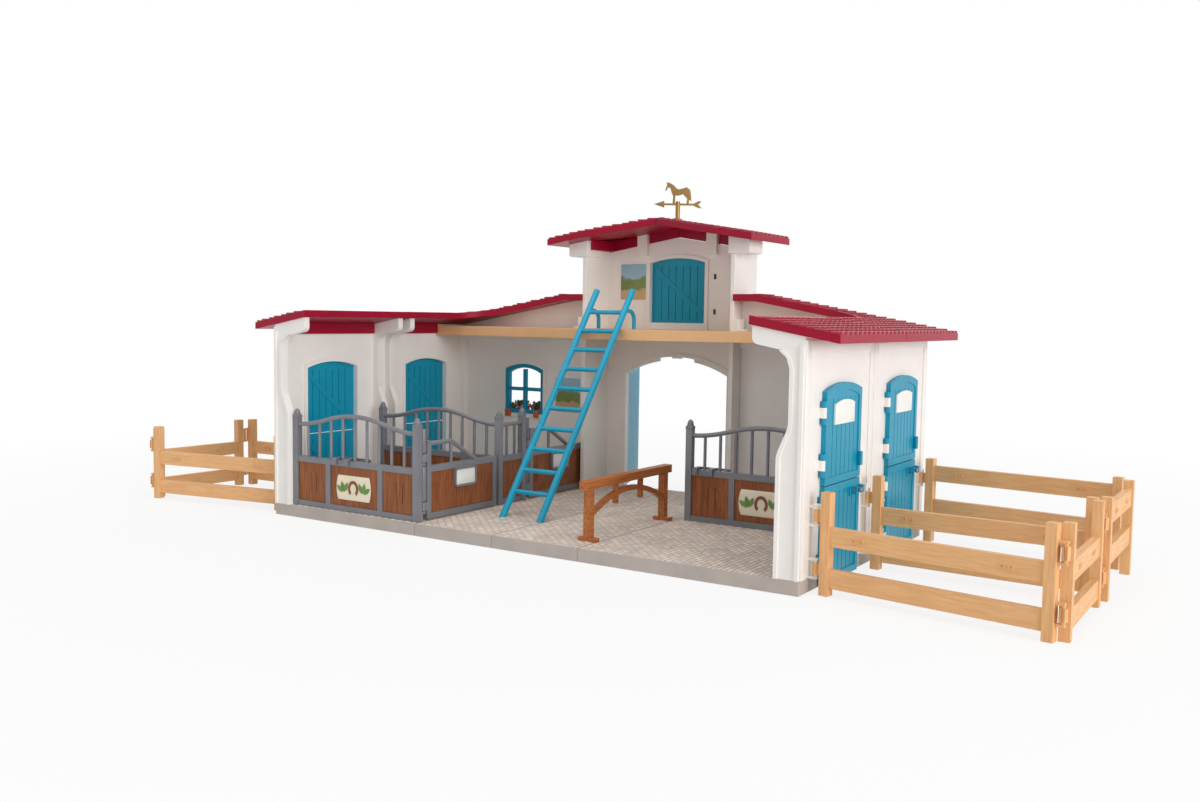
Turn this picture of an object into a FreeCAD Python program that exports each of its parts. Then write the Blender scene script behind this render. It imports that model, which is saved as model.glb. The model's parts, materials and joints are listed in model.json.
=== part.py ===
"""Toy horse stable: a courtyard building with stalls, loft, tower and paddock fences.

Millimetres, +Z up, X across the front, Y from the front towards the back.
The origin is the middle of the floor's underside, on the axis of the building.
"""
import FreeCAD
import Part

import math
import os

V = FreeCAD.Vector
UP = V(0, 0, 1)
ORIGIN = V(0, 0, 0)

# Building shell
HALF_WIDTH = 250.0        # axis to the outer face of a wing wall
PANEL_LENGTH = 128.0      # one wing wall panel, along Y; two panels make a wing
WALL = 4.0                # wall thickness
FLOOR_THICK = 10.0        # floor plates
FLOOR_PITCH = 80.0        # width of the two middle plates
FLOOR_OFFSET = -4.0       # axis to the seam between them
FLOOR_BACK = 3.0          # floor behind the arch wall
SEAM_GAP = 0.3            # air between neighbouring plates and panels
OVERRUN = 5.0             # how far cutting shapes run past what they cut

# Wing ribs with their corbels
RIB = 6.0                 # rib thickness along the wall
RIB_INSET = 5.0           # rib from the joint of two wing panels
FOOT_DEPTH = 18.0         # rib depth at the foot
POST_DEPTH = 10.0         # rib depth above the flare
FLARE_LOW = 92.0          # flare starts, above the table
FLARE_HIGH = 109.0        # flare ends
CORBEL_REACH = 37.5       # from the outer wall face towards the courtyard
CORBEL_DROP = 12.0        # height of the corbel's end
CORBEL_FILLET = 10.0
CORBEL_TIP = 5.0          # radius of the corbel's rounded tip
FLARE_ROUND = 9.0

# Roofs
EAVE_OVER = 24.0          # outer wall face to the eave
EAVE_TOP = 170.5          # top of the eave above the table
ROOF_PITCH = 10.25        # degrees
FASCIA = 6.0              # roof plate, measured upright
ROOF_IN = 39.5            # outer wall face to the plate's high edge
ROOF_FRONT_OVER = 1.5
ROOF_REAR_OVER = 6.0
BACK_ROOF_OVER = 23.5     # back wall's outer face to the plate's edge over the courtyard
INNER_RADIUS = 41.0       # rounded inner corner of a rear plate
FLAT_STRIP = 19.5         # level strip of a rear plate, beside the tower
RIM_DEPTH = 9.0           # locating rim under a plate, inside the wall
RIM = 2.4
RIM_GAP = 0.6

# Dutch doors
DOOR_WIDTH = 61.4         # opening in a wing panel
DOOR_SPRING = 129.7       # where the arch of the opening starts
DOOR_RISE = 5.2
DOOR_SPLIT = 68.6         # joint between the lower and the upper leaf
SPLIT_GAP = 0.7
LEAF = 3.2                # leaf thickness
LEAF_GAP = 0.35           # air between a closed leaf and its wall
LEAF_LAP = 2.4            # overlap on the wall round the opening
LEAF_BOTTOM = 1.2
LEAF_FIELD = 0.7          # how deep the planked field lies inside its border
LEAF_BORDER = 5.0
PLANK_COUNT = 7
GROOVE = 0.7              # width and depth of the groove between two planks
BRACE = 4.2               # width of the diagonal brace on a leaf's inside
BRACE_PROUD = 0.5

# Leaf hinges
PIN_RADIUS = 0.95
PIN_CLEARANCE = 0.08
LUG_RADIUS = 1.9
LUG_HEIGHT = 7.0
KNUCKLE_HEIGHT = 4.0
KNUCKLE_RADIUS = 2.0
KNUCKLE_GAP = 0.3         # between a lug and the knuckles above and below it
HINGE_OUT = 2.45          # wall face to hinge axis
HINGE_SIDE = 2.3          # leaf edge to hinge axis
HINGE_INSET = 14.0        # hinge middle from a leaf's end

# Door bolts
BOLT_RADIUS = 1.1
BOLT_CLEARANCE = 0.1
BOLT_LENGTH = 16.0
BOLT_DROP = 8.0           # below the joint between the leaves
BOLT_SIDE = 0.9           # bolt end from the leaf's free edge
BOLT_OUT = 2.2            # leaf face to bolt axis
GUIDE = 3.0               # guide thickness along the bolt
GUIDE_HIGH = 5.2
KNOB_RADIUS = 1.3
KNOB_LENGTH = 3.6
KEEPER = 3.4
KEEPER_GAP = 1.8          # leaf edge to keeper

# Back walls, bay and tower
TOWER_HALF = 82.0         # axis to the outer face of a tower side wall
BAY_DEPTH = 26.0          # bay and tower stand this far behind the back walls
PIER_DEPTH = 46.0         # bay side piers, along Y
ARCH_HALF = 56.0
ARCH_SPRING = 127.4
ARCH_RISE = 14.6
GATE_OPEN = 110.0         # degrees an arch gate leaf stands open at rest
WINDOW_WIDTH = 48.8
WINDOW_SILL = 79.0
WINDOW_SPRING = 125.0
WINDOW_RISE = 5.4
WINDOW_BAR = 3.6
WINDOW_FRAME = 4.0
WINDOW_FLANGE = 1.6
WINDOW_FIT = 0.15
WINDOW_CROSS = 104.3
LEDGE_DEPTH = 12.0        # sill ledge under a window, outside
LEDGE_HEIGHT = 3.0
PILASTER = 6.0            # inside corner strip
LOFT_LEDGE = 5.0          # strip that carries the loft on a back wall
LOFT_DOOR_HALF = 30.2
LOFT_DOOR_STEP = 6.5      # loft to the door's sill
LOFT_DOOR_HIGH = 57.8     # sill to spring line
LOFT_DOOR_RISE = 4.4
GABLE_APEX = 257.0        # top of the tower's back wall
TOWER_PITCH = 9.4         # degrees
RIDGE_TOP = 272.0
TOWER_EAVE = 108.6        # axis to the tower roof's eave
TOWER_ROOF_FRONT = 23.0   # tower wall front to the roof's front corners
RIDGE_SET_BACK = 22.0     # roof's front corners to the front of the ridge
ROOF_CORNER = 32.6        # straight front edge beside each eave
TOWER_ROOF_REAR = 12.0
HEAD_DROP = 12.0          # widened head of a tower side wall
HEAD_OUT = 15.0
HEAD_LENGTH = 27.0
PROP = 11.0               # prop between gable and roof
PROP_SPREAD = 38.0        # axis to the middle of a prop
TOWER_FOOT = 10.0         # foot clip of a tower side wall on the loft
TOWER_FOOT_HIGH = 11.0
FOOT_SOLE = 2.0

# Loft floor
LOFT_TOP = 168.5
LOFT_THICK = 9.5
LOFT_SKIN = 3.0
LOFT_FRONT = 66.0         # back wall's inner face to the loft's front edge
LOFT_SIDE_FRONT = 44.0    # the same beside the middle part
LOFT_MIDDLE_HALF = 50.0
LOFT_SLANT = 55.0         # width of a slanted edge

# Weather vane
VANE_BACK = 18.0          # from the rear edge of the tower roof
VANE_PIN = 1.2
VANE_CLEARANCE = 0.08
VANE_SADDLE = 9.0
VANE_SADDLE_HIGH = 3.0
VANE_SEAT = 0.1           # air under the saddle
VANE_RISE = 12.0          # pin above the ridge
HUB_RADIUS = 2.2
HUB_HEIGHT = 7.0
HUB_LIFT = 0.3
ARROW_LENGTH = 39.0
ARROW_BAR = 1.8
ARROW_HEAD = 6.5
VANE_PLATE = 1.6
HORSE_LENGTH = 26.0
HORSE_HEIGHT = 21.0
VANE_TURN = 33.0          # degrees

# Ladder
LADDER_TILT = 54.2        # degrees from level
LADDER_X = -27.0
LADDER_WIDTH = 39.0       # between rail middles
LADDER_RAIL = 2.9         # rail radius
LADDER_RUNG = 2.0         # rung radius
LADDER_GAP = 0.35
LADDER_TOP = 44.0         # rail length above the loft
RUNG_COUNT = 10
RUNG_FIRST = 25.0         # foot to the first rung
HOOK_RISE = 17.0          # hook leaves the rail this far above the loft
HOOK_BEND = 8.5
HOOK_RADIUS = 1.8

# Stalls
STALL_POST = 5.6
STALL_POST_HIGH = 79.0    # above the floor
CAP_HIGH = 6.0
CAP_TIP = 0.47            # half width of a post cap's tip
STALL_X = 87.0            # axis to the inner end post
STALL_FIT = 0.4           # outer end post to the foot of a wing rib
STALL_FRONT_SET = 6.5     # floor front to the front panel
DIVIDER_SET = 15.0        # joint of the wing panels to the divider
RIGHT_SET = 22.0          # joint of the wing panels to the right-hand panel
STALL_RAIL = 5.0          # bottom and middle rail
STALL_RAIL_THICK = 4.4
MIDDLE_RAIL = 39.0        # underside of the middle rail, above the floor
TOP_RAIL = 72.0           # top rail's middle at its ends, above the floor
TOP_RISE = 10.0
TOP_RAIL_RADIUS = 1.9
BAR_RADIUS = 1.3
BAR_COUNT = 10
SIDE_SPAN = 34.0          # short fixed section beside the divider
SIDE_BARS = 3
BOARD_THICK = 2.6
BOARD_FIT = 0.1
BOARD_GROOVE = 1.0
STILE = 5.0

# Stall gates
GATE_POST_GAP = 4.0       # end post face to gate hinge axis
GATE_TOP = 66.0
GATE_LEVEL = 32.0         # level stretch of the top rail, from the hinge stile
GATE_FALL = 36.0          # falling stretch of the top rail, along the gate
GATE_PIN = 1.1
GATE_CLEARANCE = 0.08
GATE_EYE = 2.4
GATE_EYE_HIGH = 3.5
GATE_EYE_LOW = 12.0       # lower eye above the floor
GATE_EYE_TOP = 52.0       # upper eye above the floor
GATE_SIDE = 0.4           # eye to gate stile
GATE_LIFT = 1.0
GATE_FREE = 3.0           # free end to the next post

# Feed troughs
TROUGH_LENGTH = 30.0
TROUGH_DEPTH = 15.0
TROUGH_HIGH = 12.0
TROUGH_WALL = 1.8
TROUGH_HOOK = 2.0
TROUGH_BARS = [4, 1]      # bar behind each trough's middle, front and right-hand panel

# Planters
PLANTER_LENGTH = 19.0
PLANTER_DEPTH = 9.0
PLANTER_HIGH = 9.0
PLANTER_TAPER = 1.5
PLANTER_WALL = 1.4
PLANTER_SPREAD = 12.5

# Hitching rail
HITCH_X = 68.0
HITCH_FRONT = 27.0        # floor front to the first post
HITCH_SPAN = 112.0
HITCH_POST = 6.0
HITCH_HIGH = 40.0         # underside of the beam above the floor
HITCH_BEAM = 6.5
HITCH_BEAM_WIDE = 7.5
HITCH_BEAM_OVER = 5.0
HITCH_ARCH = 12.0
HITCH_BRACE = 4.0
HITCH_BALUSTER = 3.6
HITCH_BALUSTERS = 2
HITCH_FOOT = 16.0
HITCH_FOOT_HIGH = 3.0

# Fences
FENCE_HIGH = 68.0
FENCE_POST = 6.6
FENCE_LONG = 144.8        # between post middles
FENCE_PLAY = 2.2          # links of a wing panel, less the short fence between them
FENCE_RAIL = 12.5
FENCE_RAIL_THICK = 4.6
RAIL_LOW = 5.5            # underside of the lower rail
RAIL_HIGH = 33.0          # underside of the upper rail
LINK_REACH = 7.6          # post middle to link axis
LINK_BAR = 1.2
LINK_CLEARANCE = 0.1
LINK_LUG = 1.6
LINK_SPREAD = 17.5        # link middles above and below half height
LINK_HALF = 7.0
CLIP_RADIUS = 2.4
CLIP_HIGH = 8.0
CLIP_SLOT = 1.9
WALL_LINK_OUT = 5.0       # outer wall face to link axis
WALL_LINK_INSET = 16.0    # panel end to link axis
FENCE_FRONT_TURN = 9.5    # degrees, front panels turn towards the front
FENCE_MIDDLE_TURN = 3.0
FENCE_REAR_TURN = 8.0

# Shares: positions along and up a form, chosen by hand
HORSE_SHARES = [(0.02, 0.63), (0.06, 0.60), (0.13, 0.76), (0.21, 0.74), (0.27, 0.50), (0.32, 0.38),
                (0.30, 0.0), (0.39, 0.0), (0.40, 0.40), (0.52, 0.40), (0.69, 0.46), (0.84, 0.26),
                (0.81, 0.0), (0.90, 0.0), (0.91, 0.22), (1.0, 0.15), (0.97, 0.50), (0.94, 0.67),
                (0.81, 0.78), (0.54, 0.68), (0.46, 0.70), (0.33, 0.87), (0.20, 0.96), (0.07, 1.0),
                (0.09, 0.87), (0.04, 0.70)]
HORSE_MIDDLE_SHARE = 0.5  # of the horse plate, over the pin
KNOB_SHARE = 0.28         # along the bolt
PANEL_SHARES = [0.276, 0.448, 0.276]  # widths of a stall panel's boards
GATE_SHARES = [1]
SIDE_SHARES = [1]
GROOVE_SHARES = [0.45, 0.65]          # places of the grooves across a board
GATE_GROOVE_SHARES = [0.05, 0.09, 0.91, 0.95]
STRAIGHT_TOP_SHARE = 0.5  # groove length on a stall board, as a share of its height

FRONT = -PANEL_LENGTH
BACK = PANEL_LENGTH                       # outer face of the back walls
STALL_DIVIDER = PANEL_LENGTH - DIVIDER_SET
STALL_RIGHT = PANEL_LENGTH + RIGHT_SET
FENCE_SHORT = PANEL_LENGTH - 2 * WALL_LINK_INSET - FENCE_PLAY
BAY_BACK = BACK + BAY_DEPTH               # outer face of the arch wall
TOWER_FRONT = BAY_BACK - PIER_DEPTH
LOFT_UNDER = LOFT_TOP - LOFT_THICK
LOFT_DOOR_SILL = LOFT_TOP + LOFT_DOOR_STEP
LOFT_DOOR_SPRING = LOFT_DOOR_SILL + LOFT_DOOR_HIGH
SLOPE = math.tan(math.radians(ROOF_PITCH))
TOWER_SLOPE = math.tan(math.radians(TOWER_PITCH))
EAVE_X = HALF_WIDTH + EAVE_OVER
FLAT_X = TOWER_HALF + FLAT_STRIP
LEAF_OUT = LEAF_GAP + LEAF                # wall face to a leaf's outer face
STALL_SPAN = HALF_WIDTH - FOOT_DEPTH - STALL_FIT - STALL_POST / 2 - STALL_X  # between end posts


def box(x0, x1, y0, y1, z0, z1):
    return Part.makeBox(x1 - x0, y1 - y0, z1 - z0, V(x0, y0, z0))


def rod(start, end, radius):
    return Part.makeCylinder(radius, (end - start).Length, start, end - start)


def fuse(shapes):
    return shapes[0].multiFuse(shapes[1:]).removeSplitter() if len(shapes) > 1 else shapes[0]


def in_xy(a, b):
    return V(a, b, 0)


def in_xz(a, b):
    return V(a, 0, b)


def in_yz(a, b):
    return V(0, a, b)


def outline(corners, plane):
    """Closed face through corners (a, b) or (a, b, radius), in the given plane."""
    edges = []
    marks = []
    count = len(corners)
    for i, corner in enumerate(corners):
        here = V(corner[0], corner[1], 0)
        radius = corner[2] if len(corner) > 2 else 0
        if not radius:
            marks.append((here, here, here))
            continue
        before = V(corners[i - 1][0], corners[i - 1][1], 0) - here
        after = V(corners[(i + 1) % count][0], corners[(i + 1) % count][1], 0) - here
        before.normalize()
        after.normalize()
        half = before.getAngle(after) / 2
        middle = before + after
        middle.normalize()
        tangent = radius / math.tan(half)
        near = radius / math.sin(half) - radius
        marks.append((here + before * tangent, here + middle * near, here + after * tangent))
    for i, (start, top, end) in enumerate(marks):
        following = marks[(i + 1) % count][0]
        if start != end:
            edges.append(Part.Arc(*[plane(p.x, p.y) for p in (start, top, end)]).toShape())
        edges.append(Part.makeLine(plane(end.x, end.y), plane(following.x, following.y)))
    return Part.Face(Part.Wire(edges))


def prism(corners, plane, start, end):
    """Outline extruded along the plane's normal, from start to end on that axis."""
    normal = {in_xy: V(0, 0, 1), in_xz: V(0, 1, 0), in_yz: V(1, 0, 0)}[plane]
    solid = outline(corners, plane).extrude(normal * (end - start))
    solid.translate(normal * start)
    return solid


def arch(u0, u1, z0, spring, rise, y0, y1):
    """Arch-topped block in the XZ plane, from y0 to y1."""
    corner_a = V(u0, y0, z0)
    corner_b = V(u1, y0, z0)
    spring_a = V(u0, y0, spring)
    spring_b = V(u1, y0, spring)
    crown = Part.Arc(spring_b, V((u0 + u1) / 2, y0, spring + rise), spring_a).toShape()
    sides = [Part.makeLine(spring_a, corner_a), Part.makeLine(corner_a, corner_b),
             Part.makeLine(corner_b, spring_b)]
    return Part.Face(Part.Wire(sides + [crown])).extrude(V(0, y1 - y0, 0))


def turned(shape, degrees, centre=ORIGIN):
    copy = shape.copy()
    copy.rotate(centre, UP, degrees)
    return copy


def moved(shape, x, y, z=0):
    copy = shape.copy()
    copy.translate(V(x, y, z))
    return copy


def mirrored(shape):
    return shape.mirror(ORIGIN, V(1, 0, 0))


def to_right(shape):
    """Wing frame (u along Y, v inwards from the outer face) to the right-hand wing."""
    return moved(turned(shape, 90), HALF_WIDTH, 0)


def to_left(shape):
    return turned(to_right(shape), 180)


def to_back(shape):
    """Wall frame (u to the left, v inwards) to the back of the bay."""
    return moved(turned(shape, 180), 0, BAY_BACK)


def roof_top(x):
    return EAVE_TOP + SLOPE * (EAVE_X - max(abs(x), FLAT_X))


def roof_under(x):
    return roof_top(x) - FASCIA


def tower_under(x):
    return RIDGE_TOP - FASCIA - TOWER_SLOPE * abs(x)


def export(name, shape):
    shape.exportStep("parts/" + name + ".step")


# Floor

def floor_plate(x0, x1):
    """Floor plate, longer where the bay stands on it."""
    plate = box(x0, x1, FRONT, BACK, 0, FLOOR_THICK)
    inner = max(x0, -TOWER_HALF)
    outer = min(x1, TOWER_HALF)
    if inner >= outer:
        return plate
    return fuse([plate, box(inner, outer, BACK, BAY_BACK + FLOOR_BACK, 0, FLOOR_THICK)])


def floor_plates():
    names = ["floor_left", "floor_centre_left", "floor_centre_right", "floor_right"]
    half = SEAM_GAP / 2
    seams = [FLOOR_OFFSET + side * FLOOR_PITCH for side in (-1, 0, 1)]
    starts = [-HALF_WIDTH] + [seam + half for seam in seams]
    ends = [seam - half for seam in seams] + [HALF_WIDTH]
    return {name: floor_plate(x0, x1) for name, x0, x1 in zip(names, starts, ends)}


# Leaf hinges, in a wall frame: outside is towards negative v

def hinge_lug(u, z, v_axis=-HINGE_OUT):
    low = z - LUG_HEIGHT / 2
    barrel = Part.makeCylinder(LUG_RADIUS, LUG_HEIGHT, V(u, v_axis, low))
    web = box(u - LUG_RADIUS, u + LUG_RADIUS, v_axis, 0, low, low + LUG_HEIGHT)
    hole = Part.makeCylinder(PIN_RADIUS + PIN_CLEARANCE, LUG_HEIGHT + 2 * OVERRUN,
                             V(u, v_axis, low - OVERRUN))
    return fuse([barrel, web]).cut(hole)


def hinge_knuckles(u, z, edge):
    """Two knuckles and their pin, joined to a leaf whose edge is at u = edge."""
    shapes = []
    half = LUG_HEIGHT / 2 + KNUCKLE_GAP
    for low in (z - half - KNUCKLE_HEIGHT, z + half):
        shapes.append(Part.makeCylinder(KNUCKLE_RADIUS, KNUCKLE_HEIGHT, V(u, -HINGE_OUT, low)))
        shapes.append(box(u, edge + LEAF_LAP, -LEAF_OUT, -LEAF_GAP, low, low + KNUCKLE_HEIGHT))
    full = half + KNUCKLE_HEIGHT
    shapes.append(Part.makeCylinder(PIN_RADIUS, 2 * full, V(u, -HINGE_OUT, z - full)))
    return shapes


def hinge_heights(z0, z1):
    return [z0 + HINGE_INSET, z1 - HINGE_INSET]


# Door leaves

def planked(slab, u0, u1, z0, z1, field):
    """Sinks the planked field outside, and cuts the plank grooves on both faces."""
    cuts = [field]
    pitch = (u1 - u0) / PLANK_COUNT
    for i in range(1, PLANK_COUNT):
        u = u0 + i * pitch
        floor_v = -LEAF_OUT + LEAF_FIELD
        cuts.append(box(u - GROOVE / 2, u + GROOVE / 2, floor_v - OVERRUN, floor_v + GROOVE, z0, z1))
        cuts.append(box(u - GROOVE / 2, u + GROOVE / 2, -LEAF_GAP - GROOVE, OVERRUN, z0, z1))
    return slab.cut(cuts)


def brace(u0, u1, z0, z1):
    """Diagonal strip on the inside of a leaf, rising from its hinge side, within the door opening."""
    run = math.hypot(u1 - u0, z1 - z0)
    across = BRACE / 2 * run / (u1 - u0)
    corners = [(u0, z0 - across), (u0, z0 + across), (u1, z1 + across), (u1, z1 - across)]
    return prism(corners, in_xz, -LEAF_GAP - GROOVE, -LEAF_GAP + BRACE_PROUD)


def lower_leaf(u0, u1, z0, z1):
    slab = box(u0, u1, -LEAF_OUT, -LEAF_GAP, z0, z1)
    a, b = u0 + LEAF_BORDER, u1 - LEAF_BORDER
    low, high = z0 + LEAF_BORDER, z1 - LEAF_BORDER
    field = box(a, b, -LEAF_OUT - OVERRUN, -LEAF_OUT + LEAF_FIELD, low, high)
    return planked(slab, a, b, low, high, field)


def upper_leaf(u0, u1, z0, spring, rise):
    slab = arch(u0, u1, z0, spring, rise, -LEAF_OUT, -LEAF_GAP)
    a, b = u0 + LEAF_BORDER, u1 - LEAF_BORDER
    low = z0 + LEAF_BORDER
    high = spring - LEAF_BORDER
    field = arch(a, b, low, high, rise, -LEAF_OUT - OVERRUN, -LEAF_OUT + LEAF_FIELD)
    return planked(slab, a, b, low, high, field)


def door_span():
    middle = FRONT + PANEL_LENGTH / 2
    return middle - DOOR_WIDTH / 2, middle + DOOR_WIDTH / 2


def leaf_span():
    u0, u1 = door_span()
    return u0 - LEAF_LAP, u1 + LEAF_LAP


def leaf_heights(upper):
    if upper:
        return DOOR_SPLIT + SPLIT_GAP / 2, DOOR_SPRING + LEAF_LAP
    return LEAF_BOTTOM, DOOR_SPLIT - SPLIT_GAP / 2


def bolt_axis():
    u = leaf_span()[1] - BOLT_SIDE
    return V(u, -LEAF_OUT - BOLT_OUT, DOOR_SPLIT - BOLT_DROP)


def bolt_guides():
    """Two guides on the lower leaf, round the bolt."""
    tip = bolt_axis()
    rear = tip.y - BOLT_OUT + BOLT_CLEARANCE
    guides = []
    for start in (tip.x - BOLT_LENGTH, tip.x - GUIDE - BOLT_SIDE):
        guides.append(box(start, start + GUIDE, rear, -LEAF_OUT + LEAF_FIELD + GROOVE,
                          tip.z - GUIDE_HIGH / 2, tip.z + GUIDE_HIGH / 2))
    return guides


def bolt_hole(radius):
    tip = bolt_axis()
    return rod(tip - V(BOLT_LENGTH + OVERRUN, 0, 0), tip + V(KEEPER + 2 * OVERRUN, 0, 0), radius)


def wing_leaf(upper):
    """One leaf of a Dutch door, in the wing frame of the front panel."""
    u0, u1 = leaf_span()
    z0, z1 = leaf_heights(upper)
    axis_u = u0 - HINGE_SIDE
    shapes = [upper_leaf(u0, u1, z0, z1, DOOR_RISE) if upper else lower_leaf(u0, u1, z0, z1)]
    for z in hinge_heights(z0, z1):
        shapes += hinge_knuckles(axis_u, z, u0)
    inner0, inner1 = door_span()
    if upper:
        shapes.append(brace(inner0 + BRACE, inner1 - BRACE, z0 + BRACE * 2, z1 - BRACE * 2))
        return fuse(shapes)
    shapes.append(brace(inner0 + BRACE, inner1 - BRACE, FLOOR_THICK + BRACE * 2, z1 - BRACE * 2))
    shapes += bolt_guides()
    return fuse(shapes).cut(bolt_hole(BOLT_RADIUS + BOLT_CLEARANCE))


def door_bolt():
    tip = bolt_axis()
    tail = tip - V(BOLT_LENGTH, 0, 0)
    knob = tail + V(BOLT_LENGTH * KNOB_SHARE, 0, 0)
    return fuse([rod(tail, tip, BOLT_RADIUS), rod(knob, knob - V(0, KNOB_LENGTH, 0), KNOB_RADIUS)])


def bolt_keeper():
    tip = bolt_axis()
    start = leaf_span()[1] + KEEPER_GAP
    block = box(start, start + KEEPER, tip.y - BOLT_OUT, 0, tip.z - GUIDE_HIGH / 2,
                tip.z + GUIDE_HIGH / 2)
    return block.cut(bolt_hole(BOLT_RADIUS + 2 * BOLT_CLEARANCE))


# Fence links: a loop with an upright bar, gripped by a slotted clip

def link_levels():
    return [FENCE_HIGH / 2 - LINK_SPREAD, FENCE_HIGH / 2 + LINK_SPREAD]


def link_loops(x_root, x_axis):
    """Two loops along X, from their root to the upright bar's axis, at y = 0."""
    shapes = []
    toward = LINK_BAR if x_axis > x_root else -LINK_BAR
    x0, x1 = sorted((x_root, x_axis + toward))
    for z in link_levels():
        for low in (z - LINK_HALF, z + LINK_HALF - LINK_LUG):
            shapes.append(box(x0, x1, -LINK_BAR, LINK_BAR, low, low + LINK_LUG))
        shapes.append(Part.makeCylinder(LINK_BAR, 2 * LINK_HALF, V(x_axis, 0, z - LINK_HALF)))
    return shapes


def link_clips(x_post):
    """Two clips round an axis at the origin, on arms from a post at x_post."""
    shapes = []
    for z in link_levels():
        low = z - CLIP_HIGH / 2
        ring = Part.makeCylinder(CLIP_RADIUS, CLIP_HIGH, V(0, 0, low))
        arm = box(LINK_BAR + LINK_CLEARANCE, x_post, -LINK_BAR, LINK_BAR, low, low + CLIP_HIGH)
        bore = Part.makeCylinder(LINK_BAR + LINK_CLEARANCE, CLIP_HIGH + 2 * OVERRUN,
                                 V(0, 0, low - OVERRUN))
        slot = box(-CLIP_RADIUS - OVERRUN, 0, -CLIP_SLOT / 2, CLIP_SLOT / 2, low - OVERRUN,
                   low + CLIP_HIGH + OVERRUN)
        shapes.append(fuse([ring, arm]).cut([bore, slot]))
    return shapes


def wall_links():
    """Loops on a wing panel's outer face, in the wing frame of the front panel."""
    shapes = []
    for u in (FRONT + WALL_LINK_INSET, -WALL_LINK_INSET):
        for loop in link_loops(0, -WALL_LINK_OUT):
            shapes.append(moved(turned(loop, 90), u, 0))
    return shapes


# Wing wall panels

def rib(u0):
    """Upright rib with foot, post and corbel, in the wing frame."""
    tip_under = roof_under(HALF_WIDTH - CORBEL_REACH)
    post_under = roof_under(HALF_WIDTH - POST_DEPTH)
    corners = [(0, FLOOR_THICK), (FOOT_DEPTH, FLOOR_THICK), (FOOT_DEPTH, FLARE_LOW, FLARE_ROUND),
               (POST_DEPTH, FLARE_HIGH, FLARE_ROUND),
               (POST_DEPTH, post_under - CORBEL_DROP, CORBEL_FILLET),
               (CORBEL_REACH, tip_under - CORBEL_DROP, CORBEL_TIP),
               (CORBEL_REACH, tip_under), (0, roof_under(HALF_WIDTH))]
    return prism(corners, in_yz, u0, u0 + RIB)


def wing_panel(first_inset, last_inset):
    """Wall panel with a rib at the given inset from each end, door opening, hinge lugs, keeper and links."""
    start = FRONT + SEAM_GAP / 2
    end = -SEAM_GAP / 2
    skin = [(0, FLOOR_THICK), (WALL, FLOOR_THICK), (WALL, roof_under(HALF_WIDTH - WALL)),
            (0, roof_under(HALF_WIDTH))]
    shapes = [prism(skin, in_yz, start, end)]
    if first_inset is not None:
        shapes.append(rib(start + first_inset))
    if last_inset is not None:
        shapes.append(rib(end - last_inset - RIB))
    u0, u1 = door_span()
    opening = arch(u0, u1, 0, DOOR_SPRING, DOOR_RISE, -OVERRUN, WALL + OVERRUN)
    panel = fuse(shapes).cut(opening)
    extras = [panel, bolt_keeper()]
    for upper in (False, True):
        for z in hinge_heights(*leaf_heights(upper)):
            extras.append(hinge_lug(leaf_span()[0] - HINGE_SIDE, z))
    return fuse(extras + wall_links())


def wings():
    pieces = {}
    shift = PANEL_LENGTH
    places = {"right_front": lambda s: to_right(s), "right_rear": lambda s: to_right(moved(s, shift, 0)),
              "left_rear": lambda s: to_left(s), "left_front": lambda s: to_left(moved(s, shift, 0))}
    ribs = {"right_front": (0, RIB_INSET), "right_rear": (RIB_INSET, None),
            "left_rear": (None, RIB_INSET), "left_front": (RIB_INSET, 0)}
    for name, place in places.items():
        pieces["wall_" + name] = place(wing_panel(*ribs[name]))
        pieces["door_" + name + "_upper"] = place(wing_leaf(True))
        pieces["door_" + name + "_lower"] = place(wing_leaf(False))
        pieces["bolt_" + name] = place(door_bolt())
    return pieces


# Back walls and windows

def window_middle():
    return (TOWER_HALF + HALF_WIDTH - WALL) / 2


def window_cut(inset, y0, y1):
    half = WINDOW_WIDTH / 2 - inset
    middle = window_middle()
    return arch(middle - half, middle + half, WINDOW_SILL + inset, WINDOW_SPRING - inset,
                WINDOW_RISE, y0, y1)


def back_wall():
    """Right-hand back wall with its window, sill ledge, loft ledge and corner strip."""
    inner = TOWER_HALF + SEAM_GAP / 2
    outer = HALF_WIDTH - WALL
    corners = [(inner, FLOOR_THICK), (outer, FLOOR_THICK), (outer, roof_under(outer)),
               (FLAT_X, roof_under(FLAT_X)), (inner, roof_under(FLAT_X))]
    wall = prism(corners, in_xz, BACK - WALL, BACK)
    face = BACK - WALL
    strip = box(outer - PILASTER, outer, face - PILASTER, face, FLOOR_THICK, LOFT_UNDER)
    ledge = box(inner, outer - PILASTER, face - LOFT_LEDGE, face, LOFT_UNDER - LOFT_LEDGE, LOFT_UNDER)
    middle = window_middle()
    half = WINDOW_WIDTH / 2 + LEAF_LAP
    sill = box(middle - half, middle + half, BACK, BACK + LEDGE_DEPTH,
               WINDOW_SILL - LEAF_LAP - LEDGE_HEIGHT, WINDOW_SILL - LEAF_LAP)
    return fuse([wall, strip, ledge, sill]).cut(window_cut(0, BACK - WALL - OVERRUN, BACK + OVERRUN))


def window_frame():
    """Frame with its crossed bars, flange outside."""
    inside = BACK - WALL
    outside = BACK + WINDOW_FLANGE
    body = window_cut(WINDOW_FIT, inside, outside)
    flange = window_cut(-LEAF_LAP, BACK, outside)
    hole = window_cut(WINDOW_FRAME, inside - OVERRUN, outside + OVERRUN)
    frame = fuse([body, flange]).cut(hole)
    middle = window_middle()
    half = WINDOW_WIDTH / 2 - WINDOW_FRAME / 2
    bar = WINDOW_BAR / 2
    upright = box(middle - bar, middle + bar, inside, BACK, WINDOW_SILL + WINDOW_FRAME / 2, WINDOW_SPRING)
    across = box(middle - half, middle + half, inside, BACK, WINDOW_CROSS - bar, WINDOW_CROSS + bar)
    return fuse([frame, upright, across])


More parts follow.
